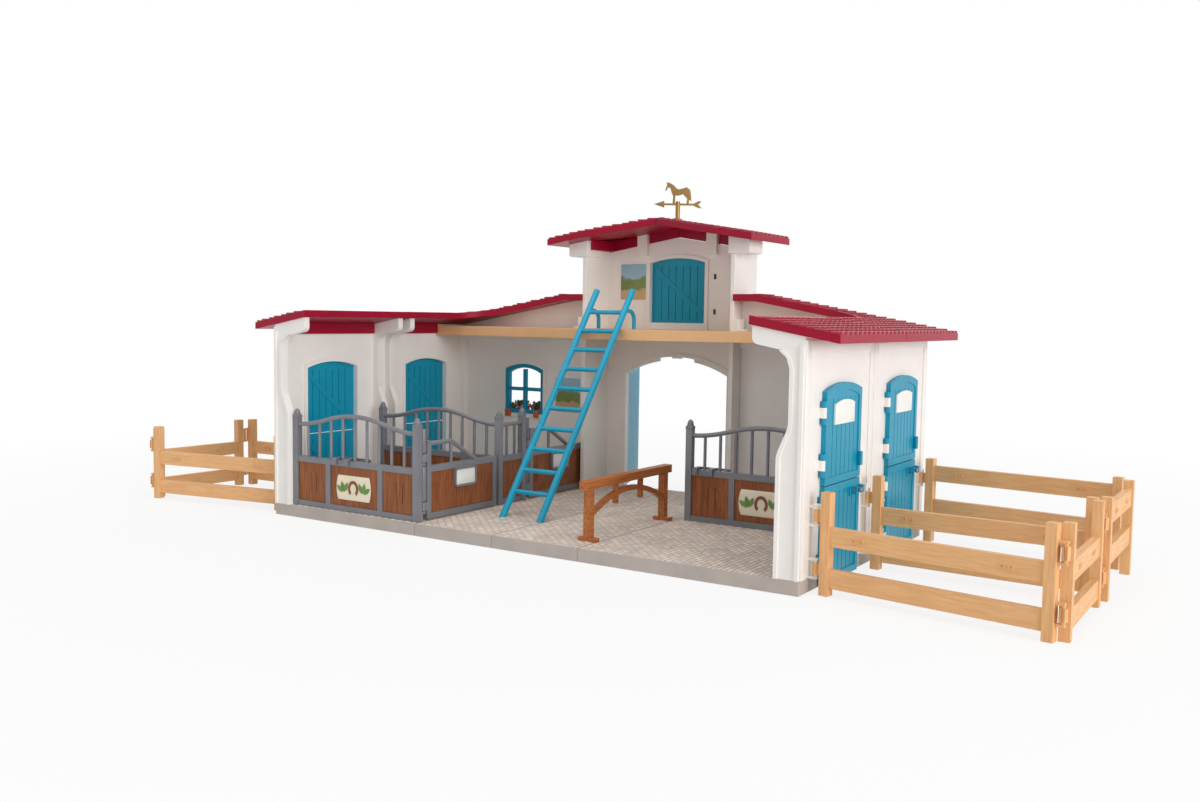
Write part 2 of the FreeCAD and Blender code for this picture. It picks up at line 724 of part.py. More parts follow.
def planter(middle):
    """Tapered pot on the sill ledge."""
    low = WINDOW_SILL - LEAF_LAP
    near = BACK + (LEDGE_DEPTH - PLANTER_DEPTH) / 2 + WINDOW_FLANGE / 2
    lower = box_face(middle, near + PLANTER_DEPTH / 2, low, PLANTER_LENGTH - 2 * PLANTER_TAPER,
                     PLANTER_DEPTH - 2 * PLANTER_TAPER)
    upper = box_face(middle, near + PLANTER_DEPTH / 2, low + PLANTER_HIGH, PLANTER_LENGTH, PLANTER_DEPTH)
    pot = Part.makeLoft([lower, upper], True)
    hollow = box(middle - PLANTER_LENGTH / 2 + PLANTER_WALL, middle + PLANTER_LENGTH / 2 - PLANTER_WALL,
                 near + PLANTER_WALL, near + PLANTER_DEPTH - PLANTER_WALL,
                 low + PLANTER_HIGH - PLANTER_WALL, low + PLANTER_HIGH + OVERRUN)
    return pot.cut(hollow)


def box_face(x, y, z, length, depth):
    corners = [V(x - length / 2, y - depth / 2, z), V(x + length / 2, y - depth / 2, z),
               V(x + length / 2, y + depth / 2, z), V(x - length / 2, y + depth / 2, z)]
    return Part.makePolygon(corners + corners[:1])


def back_walls():
    frame = window_frame()
    spread = [planter(-window_middle() + side * PLANTER_SPREAD) for side in (-1, 1)]
    return {"wall_back_right": back_wall(), "wall_back_left": mirrored(back_wall()),
            "window_frames": Part.makeCompound([frame, mirrored(frame)]),
            "planters": Part.makeCompound(spread)}


# Bay with its arch, and the tower above the loft

def gate_heights():
    return hinge_heights(FLOOR_THICK + LEAF_BOTTOM, ARCH_SPRING)


def loft_door_heights():
    return hinge_heights(LOFT_DOOR_SILL - LEAF_LAP, LOFT_DOOR_SPRING)


def arch_wall():
    """Wall with the arched way through, and a pier along each side of the bay."""
    rear = box(-TOWER_HALF, TOWER_HALF, BAY_BACK - WALL, BAY_BACK, FLOOR_THICK, LOFT_UNDER)
    way = arch(-ARCH_HALF, ARCH_HALF, 0, ARCH_SPRING, ARCH_RISE, BAY_BACK - WALL - OVERRUN,
               BAY_BACK + OVERRUN)
    shapes = [rear.cut(way)]
    for x0 in (-TOWER_HALF, TOWER_HALF - WALL):
        shapes.append(box(x0, x0 + WALL, TOWER_FRONT, BAY_BACK, FLOOR_THICK, LOFT_UNDER))
    axis = ARCH_HALF + LEAF_LAP + HINGE_SIDE
    for u in (-axis, axis):
        shapes += [to_back(hinge_lug(u, z)) for z in gate_heights()]
    return fuse(shapes)


def gate_leaf():
    """Right-hand arch gate leaf, closed."""
    u0 = -ARCH_HALF - LEAF_LAP
    u1 = -SPLIT_GAP / 2
    low = FLOOR_THICK + LEAF_BOTTOM
    whole = arch(u0, -u0, low, ARCH_SPRING + LEAF_LAP, ARCH_RISE, -LEAF_OUT, -LEAF_GAP)
    slab = whole.common(box(u0, u1, -LEAF_OUT - OVERRUN, OVERRUN, 0, LOFT_UNDER))
    a, b = u0 + LEAF_BORDER, u1 - LEAF_BORDER
    high = ARCH_SPRING - LEAF_BORDER
    field = box(a, b, -LEAF_OUT - OVERRUN, -LEAF_OUT + LEAF_FIELD, low + LEAF_BORDER, high)
    shapes = [planked(slab, a, b, low + LEAF_BORDER, high, field)]
    for z in gate_heights():
        shapes += hinge_knuckles(u0 - HINGE_SIDE, z, u0)
    return to_back(fuse(shapes))


def arch_gates():
    """Both leaves stand open, turned back past square."""
    axis = V(ARCH_HALF + LEAF_LAP + HINGE_SIDE, BAY_BACK + HINGE_OUT, 0)
    right = turned(gate_leaf(), -GATE_OPEN, axis)
    return {"arch_gate_right": right, "arch_gate_left": mirrored(right)}


def tower_side():
    """Right-hand tower wall with its head under the roof and its foot clip on the loft."""
    inner = TOWER_HALF - WALL
    low = LOFT_TOP
    wall = [(inner, low), (TOWER_HALF, low), (TOWER_HALF, tower_under(TOWER_HALF)),
            (inner, tower_under(inner))]
    outer = TOWER_HALF + HEAD_OUT
    base = tower_under(outer) - HEAD_DROP
    head = [(inner - FOOT_SOLE, base), (outer, base, FOOT_SOLE), (outer, tower_under(outer)),
            (inner - FOOT_SOLE, tower_under(inner - FOOT_SOLE))]
    heel = BACK - WALL - SEAM_GAP - TOWER_FOOT / 2
    shapes = [prism(wall, in_xz, TOWER_FRONT, BAY_BACK - WALL),
              prism(head, in_xz, TOWER_FRONT - FOOT_SOLE, TOWER_FRONT - FOOT_SOLE + HEAD_LENGTH),
              box(TOWER_HALF, TOWER_HALF + TOWER_FOOT, TOWER_FRONT, heel, low, low + FOOT_SOLE),
              box(TOWER_HALF, TOWER_HALF + TOWER_FOOT / 2, TOWER_FRONT, heel, low, low + TOWER_FOOT_HIGH)]
    return fuse(shapes)


def gable(x):
    """Upper edge of the tower's back wall."""
    return GABLE_APEX - TOWER_SLOPE * abs(x)


def tower_back():
    """Gabled back wall of the tower with the loft door's opening and two props."""
    corners = [(-TOWER_HALF, LOFT_TOP), (TOWER_HALF, LOFT_TOP), (TOWER_HALF, gable(TOWER_HALF)),
               (0, GABLE_APEX), (-TOWER_HALF, gable(TOWER_HALF))]
    wall = prism(corners, in_xz, BAY_BACK - WALL, BAY_BACK)
    opening = arch(-LOFT_DOOR_HALF, LOFT_DOOR_HALF, LOFT_DOOR_SILL, LOFT_DOOR_SPRING, LOFT_DOOR_RISE,
                   BAY_BACK - WALL - OVERRUN, BAY_BACK + OVERRUN)
    shapes = [wall.cut(opening)]
    for side in (-1, 1):
        a, b = sorted((side * (PROP_SPREAD - PROP / 2), side * (PROP_SPREAD + PROP / 2)))
        prop = [(a, gable(PROP_SPREAD) - PROP), (b, gable(PROP_SPREAD) - PROP), (b, tower_under(b)),
                (a, tower_under(a))]
        shapes.append(prism(prop, in_xz, BAY_BACK - 2 * WALL, BAY_BACK))
    axis = -LOFT_DOOR_HALF - LEAF_LAP - HINGE_SIDE
    shapes += [to_back(hinge_lug(axis, z)) for z in loft_door_heights()]
    return fuse(shapes)


def loft_door():
    u0 = -LOFT_DOOR_HALF - LEAF_LAP
    low = LOFT_DOOR_SILL - LEAF_LAP
    high = LOFT_DOOR_SPRING + LEAF_LAP
    shapes = [upper_leaf(u0, -u0, low, high, LOFT_DOOR_RISE)]
    for z in loft_door_heights():
        shapes += hinge_knuckles(u0 - HINGE_SIDE, z, u0)
    inner = LOFT_DOOR_HALF - BRACE
    shapes.append(brace(-inner, inner, LOFT_DOOR_SILL + 2 * BRACE, high - 2 * BRACE))
    return to_back(fuse(shapes))


def tower():
    side = tower_side()
    pieces = {"arch_wall": arch_wall(), "tower_wall_right": side, "tower_wall_left": mirrored(side),
              "tower_back_wall": tower_back(), "loft_door": loft_door()}
    pieces.update(arch_gates())
    return pieces


# Loft floor

def loft_outline(inset):
    rear = BACK - WALL - SEAM_GAP - inset
    bay_rear = BAY_BACK - inset
    bay = TOWER_HALF - inset
    side = HALF_WIDTH - WALL - SEAM_GAP - inset
    middle = BACK - WALL - LOFT_FRONT + inset
    wing = BACK - WALL - LOFT_SIDE_FRONT + inset
    near = LOFT_MIDDLE_HALF - inset / 2
    far = LOFT_MIDDLE_HALF + LOFT_SLANT - inset / 2
    right = [(near, middle), (far, wing), (side, wing), (side, rear - PILASTER - SEAM_GAP),
             (side - PILASTER - SEAM_GAP, rear - PILASTER - SEAM_GAP), (side - PILASTER - SEAM_GAP, rear),
             (bay, rear), (bay, bay_rear)]
    return right + [(-x, y) for x, y in reversed(right)]


def loft_floor():
    """Plate with a deep edge, hollow underneath, cut clear of the wing ribs."""
    plate = prism(loft_outline(0), in_xy, LOFT_UNDER, LOFT_TOP)
    middle = BACK - WALL - LOFT_FRONT + LOFT_SKIN
    wing = BACK - WALL - LOFT_SIDE_FRONT + LOFT_SKIN
    rear = BACK - WALL - 2 * LOFT_LEDGE
    half = LOFT_MIDDLE_HALF - LOFT_SKIN
    far = HALF_WIDTH - FOOT_DEPTH - LOFT_SKIN
    hollow = [(half, middle), (half + LOFT_SLANT, wing), (far, wing), (far, rear), (-far, rear), (-far, wing),
              (-half - LOFT_SLANT, wing), (-half, middle)]
    return plate.cut(prism(hollow, in_xy, LOFT_UNDER - OVERRUN, LOFT_TOP - LOFT_SKIN))


# Roofs

def slope_profile(x_in, x_out):
    corners = [(x_out, roof_under(x_out)), (x_out, roof_top(x_out))]
    if x_in < FLAT_X:
        corners += [(FLAT_X, roof_top(FLAT_X)), (x_in, roof_top(x_in)), (x_in, roof_under(x_in)),
                    (FLAT_X, roof_under(FLAT_X))]
    else:
        corners += [(x_in, roof_top(x_in)), (x_in, roof_under(x_in))]
    return corners


def roof_rim(y0, y1):
    """Strip under a plate that stands just inside the wing wall, between two ribs."""
    outer = HALF_WIDTH - WALL - RIM_GAP
    inner = outer - RIM
    corners = [(inner, roof_under(outer) - RIM_DEPTH), (outer, roof_under(outer) - RIM_DEPTH),
               (outer, roof_top(outer) - FASCIA / 2), (inner, roof_top(inner) - FASCIA / 2)]
    return prism(corners, in_xz, y0, y1)


def front_roof():
    """Right-hand front plate."""
    high = HALF_WIDTH - ROOF_IN
    end = -SEAM_GAP / 2
    plate = prism(slope_profile(high, EAVE_X), in_xz, FRONT - ROOF_FRONT_OVER, end)
    clear = RIB + SEAM_GAP + RIM_GAP
    return fuse([plate, roof_rim(FRONT + clear, -clear - RIB_INSET)])


def rear_roof():
    """Right-hand rear plate, open over the courtyard with a rounded inner corner."""
    start = SEAM_GAP / 2
    inner = TOWER_HALF + SEAM_GAP
    high = HALF_WIDTH - ROOF_IN
    edge = BACK - BACK_ROOF_OVER
    plate = prism(slope_profile(inner, EAVE_X), in_xz, start, BACK + ROOF_REAR_OVER)
    court = [(inner - OVERRUN, start - OVERRUN), (high, start - OVERRUN), (high, edge, INNER_RADIUS),
             (inner - OVERRUN, edge)]
    plate = plate.cut(prism(court, in_xy, 0, RIDGE_TOP))
    clear = RIB + SEAM_GAP + RIM_GAP
    return fuse([plate, roof_rim(clear + RIB_INSET, BACK - WALL - LOFT_SIDE_FRONT - RIM_GAP)])


def tower_roof():
    """Right-hand half of the tower roof."""
    inner = SEAM_GAP / 2
    corners = [(inner, RIDGE_TOP - FASCIA), (TOWER_EAVE, tower_under(TOWER_EAVE)),
               (TOWER_EAVE, tower_under(TOWER_EAVE) + FASCIA), (inner, RIDGE_TOP)]
    front = TOWER_FRONT - TOWER_ROOF_FRONT
    rear = BAY_BACK + TOWER_ROOF_REAR
    plate = prism(corners, in_xz, front, rear)
    corner = TOWER_EAVE - ROOF_CORNER
    notch = [(inner - OVERRUN, front - OVERRUN), (corner, front - OVERRUN), (corner, front),
             (inner, front + RIDGE_SET_BACK), (inner - OVERRUN, front + RIDGE_SET_BACK)]
    plate = plate.cut(prism(notch, in_xy, 0, 2 * RIDGE_TOP))
    return fuse([plate] + tower_rims())


def tower_rims():
    """Strips under the right-hand half: over the gable on both sides of a prop, and inside the side wall."""
    def strip(x0, x1, low, y0, y1):
        corners = [(x0, low(x0)), (x1, low(x1)), (x1, tower_under(x1) + FASCIA / 2),
                   (x0, tower_under(x0) + FASCIA / 2)]
        return prism(corners, in_xz, y0, y1)

    def on_gable(x):
        return gable(x) + SEAM_GAP

    def below_plate(x):
        return tower_under(x) - RIM_DEPTH
    prop = PROP / 2 + RIM_GAP
    wall = BAY_BACK - WALL
    side = TOWER_HALF - WALL - FOOT_SOLE - RIM_GAP
    return [strip(SEAM_GAP / 2, PROP_SPREAD - prop, on_gable, wall, BAY_BACK),
            strip(PROP_SPREAD + prop, TOWER_HALF, on_gable, wall, BAY_BACK),
            strip(side - RIM, side, below_plate, TOWER_FRONT + WALL, wall - RIM_GAP)]


def roofs():
    pieces = {"roof_right_front": front_roof(), "roof_right_rear": rear_roof(),
              "tower_roof_right": tower_roof()}
    for name in list(pieces):
        pieces[name.replace("right", "left")] = mirrored(pieces[name])
    return pieces


# Weather vane

def vane_place():
    return V(0, BAY_BACK + TOWER_ROOF_REAR - VANE_BACK, RIDGE_TOP + VANE_SEAT)


def vane_post():
    """Saddle over the ridge with an upright pin."""
    place = vane_place()
    half = VANE_SADDLE / 2
    low = -TOWER_SLOPE * half
    corners = [(-half, low), (0, 0), (half, low), (half / 2, VANE_SADDLE_HIGH), (-half / 2, VANE_SADDLE_HIGH)]
    saddle = prism(corners, in_xz, -half, half)
    pin = Part.makeCylinder(VANE_PIN, VANE_RISE, ORIGIN)
    lifted = fuse([saddle, pin.cut(prism(corners, in_xz, -half, half))])
    return moved(lifted, place.x, place.y, place.z)


def weather_vane():
    """Hub, arrow and horse plate, free to turn on the pin."""
    place = vane_place()
    low = VANE_SADDLE_HIGH + HUB_LIFT
    hub = Part.makeCylinder(HUB_RADIUS, HUB_HEIGHT + VANE_RISE - low, V(0, 0, low))
    bore = Part.makeCylinder(VANE_PIN + VANE_CLEARANCE, VANE_RISE + HUB_LIFT, ORIGIN)
    level = VANE_RISE + HUB_HEIGHT - ARROW_BAR
    half = ARROW_LENGTH / 2
    bar = box(-half, half, -ARROW_BAR / 2, ARROW_BAR / 2, level - ARROW_BAR, level)
    middle = level - ARROW_BAR / 2
    point = prism([(-half - ARROW_HEAD / 2, middle), (-half + ARROW_HEAD, middle - ARROW_HEAD / 2),
                   (-half + ARROW_HEAD, middle + ARROW_HEAD / 2)], in_xz, -VANE_PLATE / 2, VANE_PLATE / 2)
    tail = prism([(half - ARROW_HEAD, middle), (half, middle - ARROW_HEAD / 2), (half + ARROW_HEAD / 2,
                  middle - ARROW_HEAD / 2), (half, middle), (half + ARROW_HEAD / 2, middle + ARROW_HEAD / 2),
                  (half, middle + ARROW_HEAD / 2)], in_xz, -VANE_PLATE / 2, VANE_PLATE / 2)
    feet = level - ARROW_BAR / 2
    horse = prism([((a - HORSE_MIDDLE_SHARE) * HORSE_LENGTH, feet + b * HORSE_HEIGHT)
                   for a, b in HORSE_SHARES], in_xz, -VANE_PLATE / 2, VANE_PLATE / 2)
    vane = fuse([hub.cut(bore), bar, point, tail, horse])
    return moved(turned(vane, VANE_TURN), place.x, place.y, place.z)


# Ladder

def ladder():
    """Leaning ladder with two hooks over the loft's front edge."""
    tilt = math.radians(LADDER_TILT)
    along = V(0, math.cos(tilt), math.sin(tilt))
    edge_y = BACK - WALL - LOFT_FRONT
    pass_y = edge_y - (LADDER_RAIL + LADDER_GAP) / math.sin(tilt)
    at_loft = V(LADDER_X, pass_y, LOFT_TOP)
    to_floor = (LOFT_TOP - FLOOR_THICK) / math.sin(tilt)
    foot = at_loft - along * to_floor
    half = V(LADDER_WIDTH / 2, 0, 0)
    shapes = []
    for side in (-1, 1):
        shapes.append(rod(foot + half * side - along * OVERRUN, at_loft + half * side + along * LADDER_TOP,
                          LADDER_RAIL))
    last = to_floor + LADDER_TOP - RUNG_FIRST
    for i in range(RUNG_COUNT):
        middle = foot + along * (RUNG_FIRST + i * (last - RUNG_FIRST) / (RUNG_COUNT - 1))
        shapes.append(rod(middle - half, middle + half, LADDER_RUNG))
    for side in (-1, 1):
        root = at_loft + half * side + along * (HOOK_RISE / math.sin(tilt))
        drop = root.z - HOOK_BEND - LOFT_TOP - LADDER_GAP
        bend = root + V(0, HOOK_BEND, 0)
        centre = bend - V(0, 0, HOOK_BEND)
        middle = centre + V(0, HOOK_BEND, HOOK_BEND) * math.sqrt(0.5)
        end = centre + V(0, HOOK_BEND, 0)
        path = Part.Wire([Part.makeLine(root, bend), Part.Arc(bend, middle, end).toShape(),
                          Part.makeLine(end, end - V(0, 0, drop))])
        circle = Part.Wire([Part.makeCircle(HOOK_RADIUS, root, V(0, 1, 0))])
        shapes.append(path.makePipeShell([circle], True, False))
    body = fuse(shapes)
    reach = HALF_WIDTH
    ground = box(-reach, reach, -reach, reach, FLOOR_THICK - reach, FLOOR_THICK + LADDER_GAP)
    return body.cut(ground)


# Stalls

def spire(x, y, z):
    """Pointed cap of a stall post."""
    half = STALL_POST / 2
    base = Part.makePolygon([V(x + a * half, y + b * half, z) for a, b in
                             ((-1, -1), (1, -1), (1, 1), (-1, 1), (-1, -1))])
    top = Part.makePolygon([V(x + a * CAP_TIP, y + b * CAP_TIP, z + CAP_HIGH) for a, b in
                            ((-1, -1), (1, -1), (1, 1), (-1, 1), (-1, -1))])
    return Part.makeLoft([base, top], True)


def wave(x, length):
    """Height of the waved top rail above its ends, from two equal arcs on each side."""
    half = length / 2
    x = x if x <= half else length - x
    radius = (half * half + TOP_RISE * TOP_RISE) / (4 * TOP_RISE)
    if x <= half / 2:
        return radius - math.sqrt(radius * radius - x * x)
    return TOP_RISE - radius + math.sqrt(radius * radius - (half - x) ** 2)


def waved_rail(length, z):
    """Round rail along X whose middle rises in a smooth wave."""
    def at(x):
        return V(x, 0, z + wave(x, length))
    eighth = length / 8
    arcs = [Part.Arc(at(0), at(eighth), at(2 * eighth)).toShape(),
            Part.Arc(at(2 * eighth), at(4 * eighth), at(6 * eighth)).toShape(),
            Part.Arc(at(6 * eighth), at(7 * eighth), at(length)).toShape()]
    circle = Part.Wire([Part.makeCircle(TOP_RAIL_RADIUS, at(0), V(1, 0, 0))])
    return Part.Wire(arcs).makePipeShell([circle], True, False)


def field_edges(length, shares, margin):
    """Clear spaces between the stiles of a panel, with a margin at both ends."""
    clear = length - 2 * margin - (len(shares) - 1) * STILE
    edges = []
    start = margin
    for share in shares:
        edges.append((start, start + clear * share))
        start += clear * share + STILE
    return edges


def board_frame(length, shares, margin=STALL_POST / 2):
    """Lower frame of a stall panel, from the floor to its middle rail, along X from 0."""
    half = STALL_RAIL_THICK / 2
    low = FLOOR_THICK
    top = low + MIDDLE_RAIL + STALL_RAIL
    slab = box(0, length, -half, half, low, top)
    holes = [box(a, b, -half - OVERRUN, half + OVERRUN, low + STALL_RAIL, low + MIDDLE_RAIL)
             for a, b in field_edges(length, shares, margin)]
    return slab.cut(holes)


def boards(length, shares, groove_shares=GROOVE_SHARES, margin=STALL_POST / 2):
    """Boards that fill the lower frame, each with short upright grooves on both faces."""
    shapes = []
    half = BOARD_THICK / 2
    low = FLOOR_THICK + STALL_RAIL + BOARD_FIT
    high = FLOOR_THICK + MIDDLE_RAIL - BOARD_FIT
    middle = (low + high) / 2
    reach = (high - low) * STRAIGHT_TOP_SHARE / 2
    for a, b in field_edges(length, shares, margin):
        board = box(a + BOARD_FIT, b - BOARD_FIT, -half, half, low, high)
        cuts = []
        for share in groove_shares:
            x = a + (b - a) * share
            for face in (-half, half):
                cuts.append(box(x - BOARD_GROOVE / 2, x + BOARD_GROOVE / 2, face - BOARD_GROOVE / 2,
                                face + BOARD_GROOVE / 2, middle - reach, middle + reach))
        shapes.append(board.cut(cuts))
    return shapes


def stall_frame():
    """Panel frame along X: two capped posts, lower frame, bars and waved rail."""
    half = STALL_POST / 2
    post_top = FLOOR_THICK + STALL_POST_HIGH
    shapes = [board_frame(STALL_SPAN, PANEL_SHARES), waved_rail(STALL_SPAN, FLOOR_THICK + TOP_RAIL)]
    for x in (0, STALL_SPAN):
        shapes.append(box(x - half, x + half, -half, half, FLOOR_THICK, post_top))
        shapes.append(spire(x, 0, post_top))
    low = FLOOR_THICK + MIDDLE_RAIL + STALL_RAIL / 2
    for i in range(1, BAR_COUNT):
        x = STALL_SPAN * i / BAR_COUNT
        top = FLOOR_THICK + TOP_RAIL + wave(x, STALL_SPAN)
        shapes.append(rod(V(x, 0, low), V(x, 0, top), BAR_RADIUS))
    return fuse(shapes)


def side_section():
    """Short fixed section along X that carries the rear gate, with its capped end post."""
    half = STALL_POST / 2
    post_top = FLOOR_THICK + STALL_POST_HIGH
    rail = FLOOR_THICK + TOP_RAIL
    shapes = [board_frame(SIDE_SPAN, SIDE_SHARES), rod(V(0, 0, rail), V(SIDE_SPAN, 0, rail), TOP_RAIL_RADIUS),
              box(SIDE_SPAN - half, SIDE_SPAN + half, -half, half, FLOOR_THICK, post_top),
              spire(SIDE_SPAN, 0, post_top)]
    low = FLOOR_THICK + MIDDLE_RAIL + STALL_RAIL / 2
    for i in range(1, SIDE_BARS):
        x = SIDE_SPAN * i / SIDE_BARS
        shapes.append(rod(V(x, 0, low), V(x, 0, rail), BAR_RADIUS))
    return shapes


def gate_length():
    """Length of a stall gate, hinge stile to free end, in the front stall's side."""
    opening = STALL_DIVIDER - STALL_FRONT_SET - STALL_POST
    return opening - GATE_POST_GAP - GATE_EYE - GATE_SIDE - GATE_FREE


def gate_frame():
    """Gate along X from its hinge axis: lower frame, two stiles, a bar and a rail that falls to the frame."""
    length = gate_length()
    half = STALL_RAIL_THICK / 2
    low = FLOOR_THICK + GATE_LIFT
    shapes = [moved(board_frame(length, GATE_SHARES, STILE), 0, 0, GATE_LIFT)]
    middle = low + MIDDLE_RAIL + STALL_RAIL
    top = FLOOR_THICK + GATE_TOP
    shapes.append(box(0, STILE, -half, half, low, top))
    shapes.append(box(length - STILE, length, -half, half, low, middle))
    start = V(STILE / 2, 0, top - STILE / 2)
    bend = V(GATE_LEVEL, 0, start.z)
    end = V(GATE_LEVEL + GATE_FALL, 0, middle - STALL_RAIL / 2)
    shapes += [rod(start, bend, TOP_RAIL_RADIUS), rod(bend, end, TOP_RAIL_RADIUS),
               Part.makeSphere(TOP_RAIL_RADIUS, bend), rod(V(bend.x, 0, end.z), bend, BAR_RADIUS)]
    eye = GATE_EYE + GATE_SIDE
    body = fuse(shapes + [box(-eye, STILE / 2, -half, half, z - GATE_EYE_HIGH, z + GATE_EYE_HIGH)
                          for z in gate_eyes()])
    eyes = [Part.makeCylinder(GATE_EYE, 2 * GATE_EYE_HIGH, V(-eye, 0, z - GATE_EYE_HIGH))
            for z in gate_eyes()]
    body = fuse([body] + eyes)
    holes = [Part.makeCylinder(GATE_PIN + GATE_CLEARANCE, 2 * GATE_EYE_HIGH + 2 * OVERRUN,
                               V(-eye, 0, z - GATE_EYE_HIGH - OVERRUN)) for z in gate_eyes()]
    return moved(body.cut(holes), eye, 0)


def gate_eyes():
    return [FLOOR_THICK + GATE_EYE_LOW, FLOOR_THICK + GATE_EYE_TOP]


def gate_boards():
    eye = GATE_EYE + GATE_SIDE
    infill = boards(gate_length(), GATE_SHARES, GATE_GROOVE_SHARES, STILE)
    return Part.makeCompound([moved(board, eye, 0, GATE_LIFT) for board in infill])


def gate_pins(x, y):
    """Hooked pins on a panel's end post, at the gate's hinge axis."""
    shapes = []
    post = STALL_POST / 2
    for z in gate_eyes():
        low = z - GATE_EYE_HIGH - KNUCKLE_GAP - GATE_EYE
        shapes.append(Part.makeCylinder(GATE_PIN, 2 * GATE_EYE_HIGH + GATE_EYE + KNUCKLE_GAP, V(x, y, low)))
        shapes.append(Part.makeCylinder(GATE_EYE, GATE_EYE, V(x, y, low)))
        shapes.append(box(x - GATE_EYE, x + GATE_EYE, y - GATE_POST_GAP - post / 2, y, low, low + GATE_EYE))
    return shapes


def stalls():
    front_y = FRONT + STALL_FRONT_SET
    divider_y = FRONT + STALL_DIVIDER
    right_y = FRONT + STALL_RIGHT
    west = -STALL_X - STALL_SPAN
    frame = stall_frame()
    hinge = STALL_POST / 2 + GATE_POST_GAP
    front_hinge = front_y + hinge
    rear_hinge = divider_y + SIDE_SPAN + hinge
    side = [moved(turned(s, 90), -STALL_X, divider_y) for s in side_section()]
    front_pins = gate_pins(-STALL_X, front_hinge)
    rear_pins = gate_pins(-STALL_X, rear_hinge)
    pieces = {"stall_front_frame": fuse([moved(frame, west, front_y)] + front_pins),
              "stall_divider_frame": fuse([moved(frame, west, divider_y)] + side + rear_pins),
              "stall_right_frame": moved(frame, STALL_X, right_y)}
    infill = [moved(turned(s, 90), -STALL_X, divider_y) for s in boards(SIDE_SPAN, SIDE_SHARES)]
    for x, y in ((west, front_y), (west, divider_y), (STALL_X, right_y)):
        infill += [moved(s, x, y) for s in boards(STALL_SPAN, PANEL_SHARES)]
    pieces["stall_boards"] = Part.makeCompound(infill)
    for name, y in (("gate_front", front_hinge), ("gate_rear", rear_hinge)):
        pieces[name + "_frame"] = moved(turned(gate_frame(), 90), -STALL_X, y)
        pieces[name + "_boards"] = moved(turned(gate_boards(), 90), -STALL_X, y)
    starts = trough_starts()
    pieces["feed_troughs"] = Part.makeCompound([moved(trough(), west + starts[0], front_y),
                                                moved(trough(), STALL_X + starts[1], right_y)])
    return pieces


def trough_starts():
    """Where the troughs start along their panels, so that their hooks pass between the bars."""
    return [STALL_SPAN * bar / BAR_COUNT - TROUGH_LENGTH / 2 for bar in TROUGH_BARS]


def trough():
    """Open trough behind a panel along X, hooked over the panel's middle rail."""
    rail = STALL_RAIL_THICK / 2 + SEAM_GAP
    top = FLOOR_THICK + MIDDLE_RAIL + STALL_RAIL
    low = top - TROUGH_HIGH
    near = STALL_POST / 2 + SEAM_GAP
    body = box(0, TROUGH_LENGTH, near, near + TROUGH_DEPTH, low, top)
    hollow = box(TROUGH_WALL, TROUGH_LENGTH - TROUGH_WALL, near + TROUGH_WALL,
                 near + TROUGH_DEPTH - TROUGH_WALL, low + TROUGH_WALL, top + OVERRUN)
    shapes = [body.cut(hollow)]
    bay = STALL_SPAN / BAR_COUNT
    for x in (TROUGH_LENGTH / 2 - bay / 2, TROUGH_LENGTH / 2 + bay / 2):
        a, b = x - TROUGH_HOOK, x + TROUGH_HOOK
        shapes.append(box(a, b, -rail - TROUGH_HOOK, near + TROUGH_WALL, top, top + TROUGH_HOOK))
        shapes.append(box(a, b, -rail - TROUGH_HOOK, -rail, top - 2 * TROUGH_HOOK, top + TROUGH_HOOK))
        shapes.append(box(a, b, near, near + TROUGH_WALL, top - TROUGH_HOOK, top + TROUGH_HOOK))
    return fuse(shapes)


# Hitching rail

def hitching_rail():
    """Tie rail along Y: two posts on feet, a beam, an arched brace and balusters."""
    half = HITCH_POST / 2
    low = FLOOR_THICK
    beam_low = low + HITCH_HIGH
    over = HITCH_BEAM_OVER + half
    wide = HITCH_BEAM_WIDE / 2
    shapes = [box(-over, HITCH_SPAN + over, -wide, wide, beam_low, beam_low + HITCH_BEAM)]
    for x in (0, HITCH_SPAN):
        shapes.append(box(x - half, x + half, -half, half, low, beam_low))
        shapes.append(box(x - half, x + half, -HITCH_FOOT / 2, HITCH_FOOT / 2, low, low + HITCH_FOOT_HIGH))
    base = low + HITCH_HIGH / 2
    thin = HITCH_BRACE / 2
    outer = arch(0, HITCH_SPAN, low, base, HITCH_ARCH + HITCH_BRACE, -thin, thin)
    inner = arch(0, HITCH_SPAN, low - OVERRUN, base - HITCH_BRACE, HITCH_ARCH + HITCH_BRACE,
                 -thin - OVERRUN, thin + OVERRUN)
    shapes.append(outer.cut(inner))
    slim = HITCH_BALUSTER / 2
    for i in range(1, HITCH_BALUSTERS + 1):
        x = HITCH_SPAN * i / (HITCH_BALUSTERS + 1)
        shapes.append(box(x - slim, x + slim, -slim, slim, base + HITCH_BRACE, beam_low))
    rail = turned(fuse(shapes), 90)
    return moved(rail, HITCH_X, FRONT + HITCH_FRONT)


# Fences

def fence_panel(span, flipped):
    """Panel along X from its clip axis at the origin to its loop axis."""
    first = LINK_REACH
    last = first + span
    half = FENCE_POST / 2
    thin = FENCE_RAIL_THICK / 2
    shapes = [box(x - half, x + half, -half, half, 0, FENCE_HIGH) for x in (first, last)]
    for low in (RAIL_LOW, RAIL_HIGH):
        z = FENCE_HIGH - low - FENCE_RAIL if flipped else low
        shapes.append(box(first, last, -thin, thin, z, z + FENCE_RAIL))
    shapes += link_loops(last, last + LINK_REACH)
    shapes += link_clips(first)
    return fuse(shapes)


def far_axis(axis, span, degrees):
    reach = span + 2 * LINK_REACH
    angle = math.radians(degrees)
    return V(axis.x + reach * math.cos(angle), axis.y + reach * math.sin(angle), 0)


def placed_fence(axis, span, degrees, flipped=False):
    return moved(turned(fence_panel(span, flipped), degrees), axis.x, axis.y)


